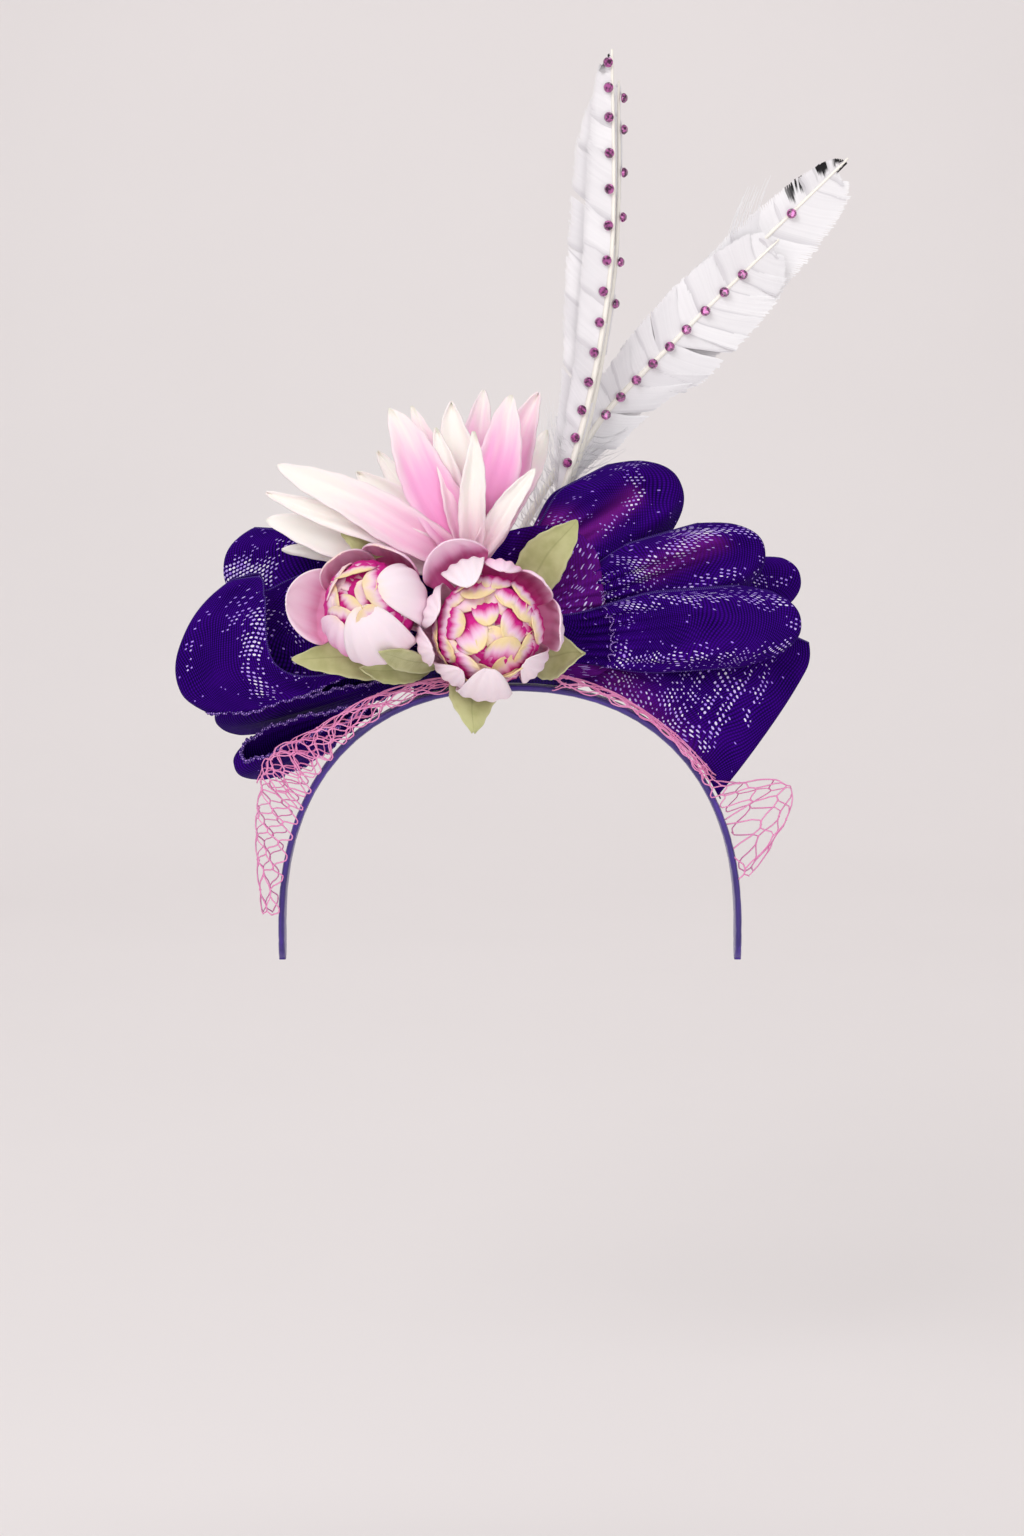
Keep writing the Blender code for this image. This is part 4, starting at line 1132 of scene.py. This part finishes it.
def barb_lines(chance):
    """Barbs of one vane in locks that part: share up the quill, place in the lock, lean, lift, and tone with
    painted shade at each lock's edge.
    """
    share = VANE_START - 0.03
    lock_left = 0
    while share < 0.985:
        if lock_left <= 0:
            lock_left = lock_size = chance.randint(10, 30)
            lock_lean = chance.uniform(-0.20, 0.20)
            lock_lift = chance.uniform(-1.0, 1.0)
            lock_tone = chance.uniform(0.72, 1.0)
        place = (lock_left / lock_size) * 2.0 - 1.0
        lock_left -= 1
        # painted shade: the first barbs of each lock are darker, where the locks part
        shade = 1.0 - 0.45 * bump_at(place, 1.0, 0.16)
        yield share, place, lock_lean, lock_lift, lock_tone * shade * chance.uniform(0.9, 1.0)
        share += BARB_STEP


def make_barbs(feather, side, material, chance):
    cells, faces = [], []
    full = (feather.left if side < 0 else feather.right) * VANE_WIDTH
    for share, place, lean, lift, tone in barb_lines(chance):
        left, right, along = vane_ways(feather, min(max(share, 0.02), 0.98))
        out = left if side < 0 else right
        normal = along.cross(out).normalized()
        root = quill_point(feather, share)
        lands = min(share + 0.5 * full / FEATHER_LENGTH, 1.0)
        width = max(vane_half(lands) * full, 1.2) * chance.uniform(0.97, 1.03)
        slant = 0.55 + lean + 0.22 * (1.0 - smooth((share - 0.3) / 0.5))
        slant *= 1.0 - 0.55 * smooth((share - 0.9) / 0.1)
        clump = max(smooth((math.sin(share * 110.0) + 0.3) / 0.5), smooth((share - 0.95) / 0.01))
        clump *= 1.0 if chance.random() < 0.72 else 0.15
        dark = clump * smooth((share - 0.83) / 0.04) * (1.0 if side < 0 or share > 0.95 else 0.0)
        if feather.black < 1.0:
            dark = feather.black * 2.0 * smooth((share - 0.93) / 0.04)
        first = len(cells)
        reached = chance.uniform(0.1, 0.5)
        for i in range(BARB_SEGMENTS + 1):
            t = i / BARB_SEGMENTS
            closing = 1.0 - 0.5 * smooth((t - 0.45) / 0.55)
            spread = place * 2.6 * (closing - 1.0)
            middle = root + out * (width * t) + along * (width * slant * t**1.25 + spread)
            middle += normal * (lift * t * t + 0.9 * math.sin(2.0 * t) * 0.5 + chance.uniform(-0.02, 0.02))
            half = BARB_HALF_WIDTH * (1.0 - 0.6 * t**4)
            black = min(dark * smooth((t - reached) / 0.3), 1.0)
            for way in (-1.0, 1.0):
                edge = middle + along * (half * way) + normal * (0.12 * way)
                cells.append((edge, (width * t, half * way), (t, tone, black)))
        for i in range(BARB_SEGMENTS):
            a = first + 2 * i
            faces.append((a, a + 1, a + 3, a + 2) if side > 0 else (a, a + 2, a + 3, a + 1))
    name = f"{feather.name}_{'left' if side < 0 else 'right'}_vane"
    return seat(new_object(name, mesh_from(name, cells, faces), material), "feather")


def make_fluff(feather, material, chance):
    """Loose downy barbs at the foot of the vane and a few strays along it."""
    lines = []
    for _ in range(FLUFF_COUNT):
        share = chance.uniform(VANE_START - 0.10, VANE_START + 0.10)
        left, right, along = vane_ways(feather, share)
        out = left if chance.random() < 0.6 else right
        normal = along.cross(out)
        length = chance.uniform(7.0, 15.0)
        lean = chance.uniform(0.4, 1.6)
        sway = chance.uniform(-0.3, 0.3)
        root = quill_point(feather, share)
        points = []
        for i in range(7):
            t = i / 6
            points.append(root + out * (length * t) + along * (length * lean * t * t) +
                          normal * (length * sway * t * t) + along * (0.5 * math.sin(6.0 * t + length)))
        lines.append((points, lambda s: 0.16 * (1.0 - 0.7 * s), (0.0, 0.9, 0.0)))
    for _ in range(WISP_COUNT if feather.black == 1.0 else 0):
        share = chance.uniform(0.73, 0.81)
        out, _, along = vane_ways(feather, share)
        length = chance.uniform(12.0, 18.0)
        root = quill_point(feather, share)
        shares = (0, 0.2, 0.4, 0.6, 0.8, 1.0)
        points = [root + out * (length * t) + along * (length * 1.25 * t * t) for t in shares]
        lines.append((points, lambda s: 0.20 * (1.0 - 0.6 * s), (0.0, 0.9, 0.0)))
    return seat(tubes(feather.name + "_fluff", lines, 3, material), "feather")


def make_feather(feather, barbs, ivory, chance):
    points = [quill_point(feather, i / 60) for i in range(61)]
    quill = tubes(feather.name + "_quill",
                  [(points, lambda s: QUILL_RADIUS * mix(1.25, 0.34, s), (0.0, 0.0, 0.0))], 10, ivory)
    seat(quill, "feather", feather.name)
    for side in (-1, 1):
        make_barbs(feather, side, barbs, chance)
    make_fluff(feather, barbs, chance)


def stone_rows():
    return (
        Row(0, "stone_upright", 14, 0.35, 0.975, -1, 1.0),
        Row(1, "stone_behind", 6, 0.62, 0.96, 1, 0.4),
        Row(2, "stone_leaning", 9, 0.42, 0.86, -1, 0.0),
        Row(3, "stone_tip", 1, 0.855, 0.855, -1, 0.0),
    )


def make_stone(name, feather, share, row, material):
    """A flat-backed crystal: table, star and kite facets, and a thin girdle."""
    left, right, along = vane_ways(feather, share)
    vane = left if row.side < 0 else right
    face = (along.cross(vane) * -row.side).normalized()
    quill = QUILL_RADIUS * mix(1.0, QUILL_TIP, share)
    i = min(int(share * QUILL_STEPS), QUILL_STEPS - 1)
    ends = [quill_point(feather, end / QUILL_STEPS) for end in (i, i + 1)]
    base = mix(ends[0], ends[1], share * QUILL_STEPS - i) + face * (quill + STONE_SEAT) + vane * row.aside
    cut = bmesh.new()
    rings = ((8, 1.0, 0.55, 0.5), (8, 0.72, 0.80, 0.0), (16, 0.30, 1.0, 0.5), (16, 0.0, 0.96, 0.5))
    for count, up, wide, shift in rings:
        for k in range(count):
            angle = 2.0 * math.pi * (k + shift) / count
            at = Vector((math.cos(angle) * wide * STONE_RADIUS, math.sin(angle) * wide * STONE_RADIUS,
                         up * STONE_HEIGHT))
            cut.verts.new(at * MM)
    bmesh.ops.convex_hull(cut, input=cut.verts)
    turned = face.to_track_quat("Z", "Y").to_matrix().to_4x4()
    bmesh.ops.transform(cut, matrix=Matrix.Translation(base * MM) @ turned, verts=cut.verts)
    mesh = bpy.data.meshes.new(name + "_crystal")
    cut.to_mesh(mesh)
    cut.free()
    return seat(new_object(name + "_crystal", mesh, material), "stone", name)


# Veiling, band and pad


def net_rows(side):
    if side < 0:
        return (
            NetRow(-6.0, 0.22, -10.5, -4.4), NetRow(-26.0, 0.50, -10.5, -4.6),
            NetRow(-44.0, 0.80, -11.5, -4.6), NetRow(-56.0, 1.40, -13.0, -4.6),
            NetRow(-66.0, 1.15, -11.0, 1.0), NetRow(-76.0, 0.80, -8.5, 8.0), NetRow(-88.0, 0.42, -8.0, 8.0),
        )
    return (
        NetRow(8.0, 0.32, -10.5, -4.4), NetRow(24.0, 0.20, -10.0, -4.6), NetRow(38.0, 0.10, -9.5, -5.0),
        NetRow(50.0, 0.12, -9.5, -5.6), NetRow(58.0, 0.40, -8.0, -1.0), NetRow(67.0, 2.05, -3.0, 8.0),
        NetRow(80.0, 0.34, -8.0, 7.0),
    )


def make_veil(name, side, layers, strands, cells_long, material, chance):
    """Gathered veiling: layers of zigzag threads that meet in knots, all over the CAD net's strip."""
    rows = net_rows(side)
    lines = []
    knots = []
    for layer in range(layers):
        shift = chance.uniform(0.0, 1.0)
        ends = 1.0 if layer == 0 else 0.62
        jitter = [[(chance.uniform(-0.35, 0.35), chance.uniform(-0.3, 0.3)) for _ in range(cells_long + 2)]
                  for _ in range(strands + 1)]
        for s in range(strands):
            nodes = []
            for j in range(cells_long + 1):
                joint = s + (s + j) % 2
                du, dv = jitter[joint][j]
                u = min(max((j + du + shift - 0.5) / cells_long, 0.0), 1.0)
                v = min(max((joint + 0.8 * dv) / strands, 0.0), 1.0)
                if u <= ends:
                    nodes.append((u, v))
            points = []
            for (u_a, v_a), (u_b, v_b) in zip(nodes, nodes[1:]):
                for k in range(5):
                    t = k / 5
                    u = mix(u_a, u_b, t)
                    v = mix(v_a, v_b, smooth(smooth(t)))
                    turn, bulge, front, back = curve_through(rows, u)
                    away = mix(NET_FOOT, BAND_THICKNESS + 1.2, v) + bulge * NET_HEIGHT * math.sin(math.pi * v)
                    away += layer * 0.7 + 0.5 * math.sin(7.0 * u + 3.0 * v + layer)
                    y = mix(front, back, (1.0 - math.cos(math.pi * v)) / 2.0) - 0.4 * layer
                    points.append(arch_point(turn, away, y))
            if len(points) > 2:
                thick = 0.26 if layer == 0 else 0.22
                lines.append((points, lambda share, r=thick: r, (0.0, 0.0, 0.0)))
                knots += points[5::10]
    for at in knots[::2]:
        way = Vector((chance.uniform(-1, 1), chance.uniform(-1, 1), chance.uniform(-1, 1))).normalized()
        lines.append(([at - way * 0.5, at, at + way * 0.5], lambda s: mix(0.15, 0.55, math.sin(math.pi * s)),
                      (0.0, 0.0, 0.0)))
    return seat(tubes(name + "_threads", lines, 4, material), "veiling", name)


def make_band(material):
    """The covered headband, wound with ribbon whose turns overlap."""

    def place(u, v):
        turn = mix(-BAND_END_TURN, BAND_END_TURN, u)
        from_end = min(u, 1.0 - u) / 0.045
        half = BAND_WIDTH / 2.0 * max(math.sqrt(max(1.0 - max(1.0 - from_end, 0.0) ** 2, 0.0)), 0.35)
        angle = math.pi * v
        y = half * math.copysign(abs(math.cos(angle)) ** 0.35, math.cos(angle))
        rise = BAND_THICKNESS / 2.0 * math.copysign(abs(math.sin(angle)) ** 0.6, math.sin(angle))
        wound = (u * 34.0 + 0.5 * y / BAND_WIDTH) % 1.0
        rise *= 0.93 + 0.07 * smooth(wound * 3.0) * smooth((1.0 - wound) * 12.0)
        return arch_point(turn, BAND_THICKNESS / 2.0 + rise, y)

    ribbon = surface("headband_ribbon", 420, 36, place, lambda u, v: (u, v, 0.0), 0.0, material)
    return seat(ribbon, "satin", "headband")


def make_pad(material):
    """The pad keeps its CAD shape with its rim softened."""
    node = frame["nodes"]["base_pad"]
    pad = node.copy()
    pad.data = node.data.copy()
    pad.parent = None
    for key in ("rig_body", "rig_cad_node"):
        if key in pad:
            del pad[key]
    pad.name = "base_pad_cloth"
    bpy.context.scene.collection.objects.link(pad)
    pad.data.materials.clear()
    pad.data.materials.append(material)
    softened = pad.modifiers.new("rim", "BEVEL")
    softened.width = 0.7 * MM
    softened.segments = 3
    return seat(pad, "satin", "base_pad")


# Stage


def make_stage():
    """A pale floor that curves up into a wall far behind."""
    rows = []
    for j in range(41):
        t = j / 40
        if t < 0.5:
            y, z = mix(-2600.0, 1500.0, t / 0.5), 0.0
        else:
            angle = (t - 0.5) / 0.5 * math.pi / 2.0
            y, z = 1500.0 + 1600.0 * math.sin(angle), 1600.0 * (1.0 - math.cos(angle))
        row = []
        for i in range(21):
            x = mix(-4000.0, 4000.0, i / 20)
            row.append((Vector((x, y, z + FLOOR_Z)), (x, y), (0.0, 0.0, 0.0)))
        rows.append(row)
    rows.append([(cell[0] + Vector((0.0, 0.0, 2500.0)), cell[1], cell[2]) for cell in rows[-1]])
    floor = new_object("backdrop", grid_mesh("backdrop", rows), backdrop_material())


def add_light(name, at, aim, size, power):
    lamp = bpy.data.lights.new(name, "AREA")
    lamp.size = size
    lamp.energy = power
    obj = bpy.data.objects.new(name, lamp)
    bpy.context.scene.collection.objects.link(obj)
    obj.location = at
    obj.rotation_euler = (Vector(aim) - Vector(at)).to_track_quat("-Z", "Y").to_euler()


def make_lights():
    add_light("key", (-0.8, -1.5, 1.2), (0.0, 0.0, 0.05), 1.0, 18.0)
    add_light("fill", (0.5, -1.9, 0.0), (0.0, 0.0, 0.05), 1.4, 15.0)
    add_light("wall", (0.0, 1.1, 2.5), (0.0, 2.5, -0.2), 2.5, 34.0)
    world = bpy.data.worlds.new("studio")
    world.use_nodes = True
    world.node_tree.nodes["Background"].inputs["Color"].default_value = (1.0, 0.99, 0.98, 1.0)
    world.node_tree.nodes["Background"].inputs["Strength"].default_value = 0.45
    bpy.context.scene.world = world
    bpy.context.scene.view_settings.view_transform = "Standard"


def make_camera():
    """The photograph's own view: the origin lies a little above the middle of the frame."""
    elevation = math.radians(CAMERA_ELEVATION)
    at = Vector((0.0, -math.cos(elevation), math.sin(elevation))) * CAMERA_DISTANCE
    aim = Vector((ORIGIN_LEFT * PIXEL, 0.0, -ORIGIN_UP * PIXEL))
    camera = bpy.data.cameras.new("camera")
    camera.sensor_fit = "VERTICAL"
    camera.sensor_height = 24.0
    camera.lens = camera.sensor_height * CAMERA_DISTANCE / (PHOTO_HEIGHT * PIXEL)
    camera.clip_start = 0.01
    obj = bpy.data.objects.new("camera", camera)
    bpy.context.scene.collection.objects.link(obj)
    obj.location = at * MM
    obj.rotation_euler = (aim - at).to_track_quat("-Z", "Y").to_euler()
    bpy.context.scene.camera = obj


def main():
    make_camera()
    make_lights()
    make_stage()
    crin, selvage = crin_material(), selvage_material()
    looks = loop_looks()
    for i, loop in enumerate(bow_loops()):
        make_loop(loop, looks[loop.name], 1.3 * i, crin, selvage)
    make_gather(crin)
    make_lily(lily_material())
    bloom = peony_material()
    make_peony("peony_open", peony_centre(), (0.05, -1.0, -0.08), PEONY_RADIUS, open_peony_cups(),
               ((132.0, 7, 0.52, 0.00, 0.3), (158.0, 5, 0.50, 0.02, 0.4), (108.0, 9, 0.34, 0.05, 0.4),
                (124.0, 8, 0.34, 0.11, 0.6), (140.0, 6, 0.34, 0.17, 0.7), (156.0, 4, 0.34, 0.19, 0.7),
                (170.0, 3, 0.30, 0.15, 0.5)),
               0.0, 1.9, pad_seat(-0.08, 0.48, 0), bloom, random.Random(3))
    make_peony("peony_half_open", bud_centre(), (-0.25, -1.0, 0.35), BUD_RADIUS, closed_peony_cups(),
               ((140.0, 6, 0.60, 0.00, 0.10), (114.0, 6, 0.50, 0.06, 0.10), (132.0, 6, 0.50, 0.14, 0.30),
                (150.0, 4, 0.44, 0.22, 0.45), (168.0, 2, 0.36, 0.22, 0.45)),
               0.16, 2.9, pad_seat(-0.80, 0.46, 0), bloom, random.Random(5))
    sage = leaf_material()
    for i, leaf in enumerate(leaves()):
        make_leaf(leaf, sage, 1.9 * i)
    made = feathers()
    barbs, ivory = barb_material(), quill_material()
    for i, feather in enumerate(made):
        make_feather(feather, barbs, ivory, random.Random(20 + i))
    crystal = stone_material()
    for row in stone_rows():
        for i in range(row.count):
            share = mix(row.start, row.end, i / max(row.count - 1, 1))
            make_stone(f"{row.name}_{i + 1:02d}", made[row.feather], share, row, crystal)
    veiling = veil_material()
    make_veil("net_left", -1, 2, 8, 27, veiling, random.Random(41))
    make_veil("net_right", 1, 2, 7, 24, veiling, random.Random(42))
    make_band(satin_material())
    make_pad(buckram_material())


main()
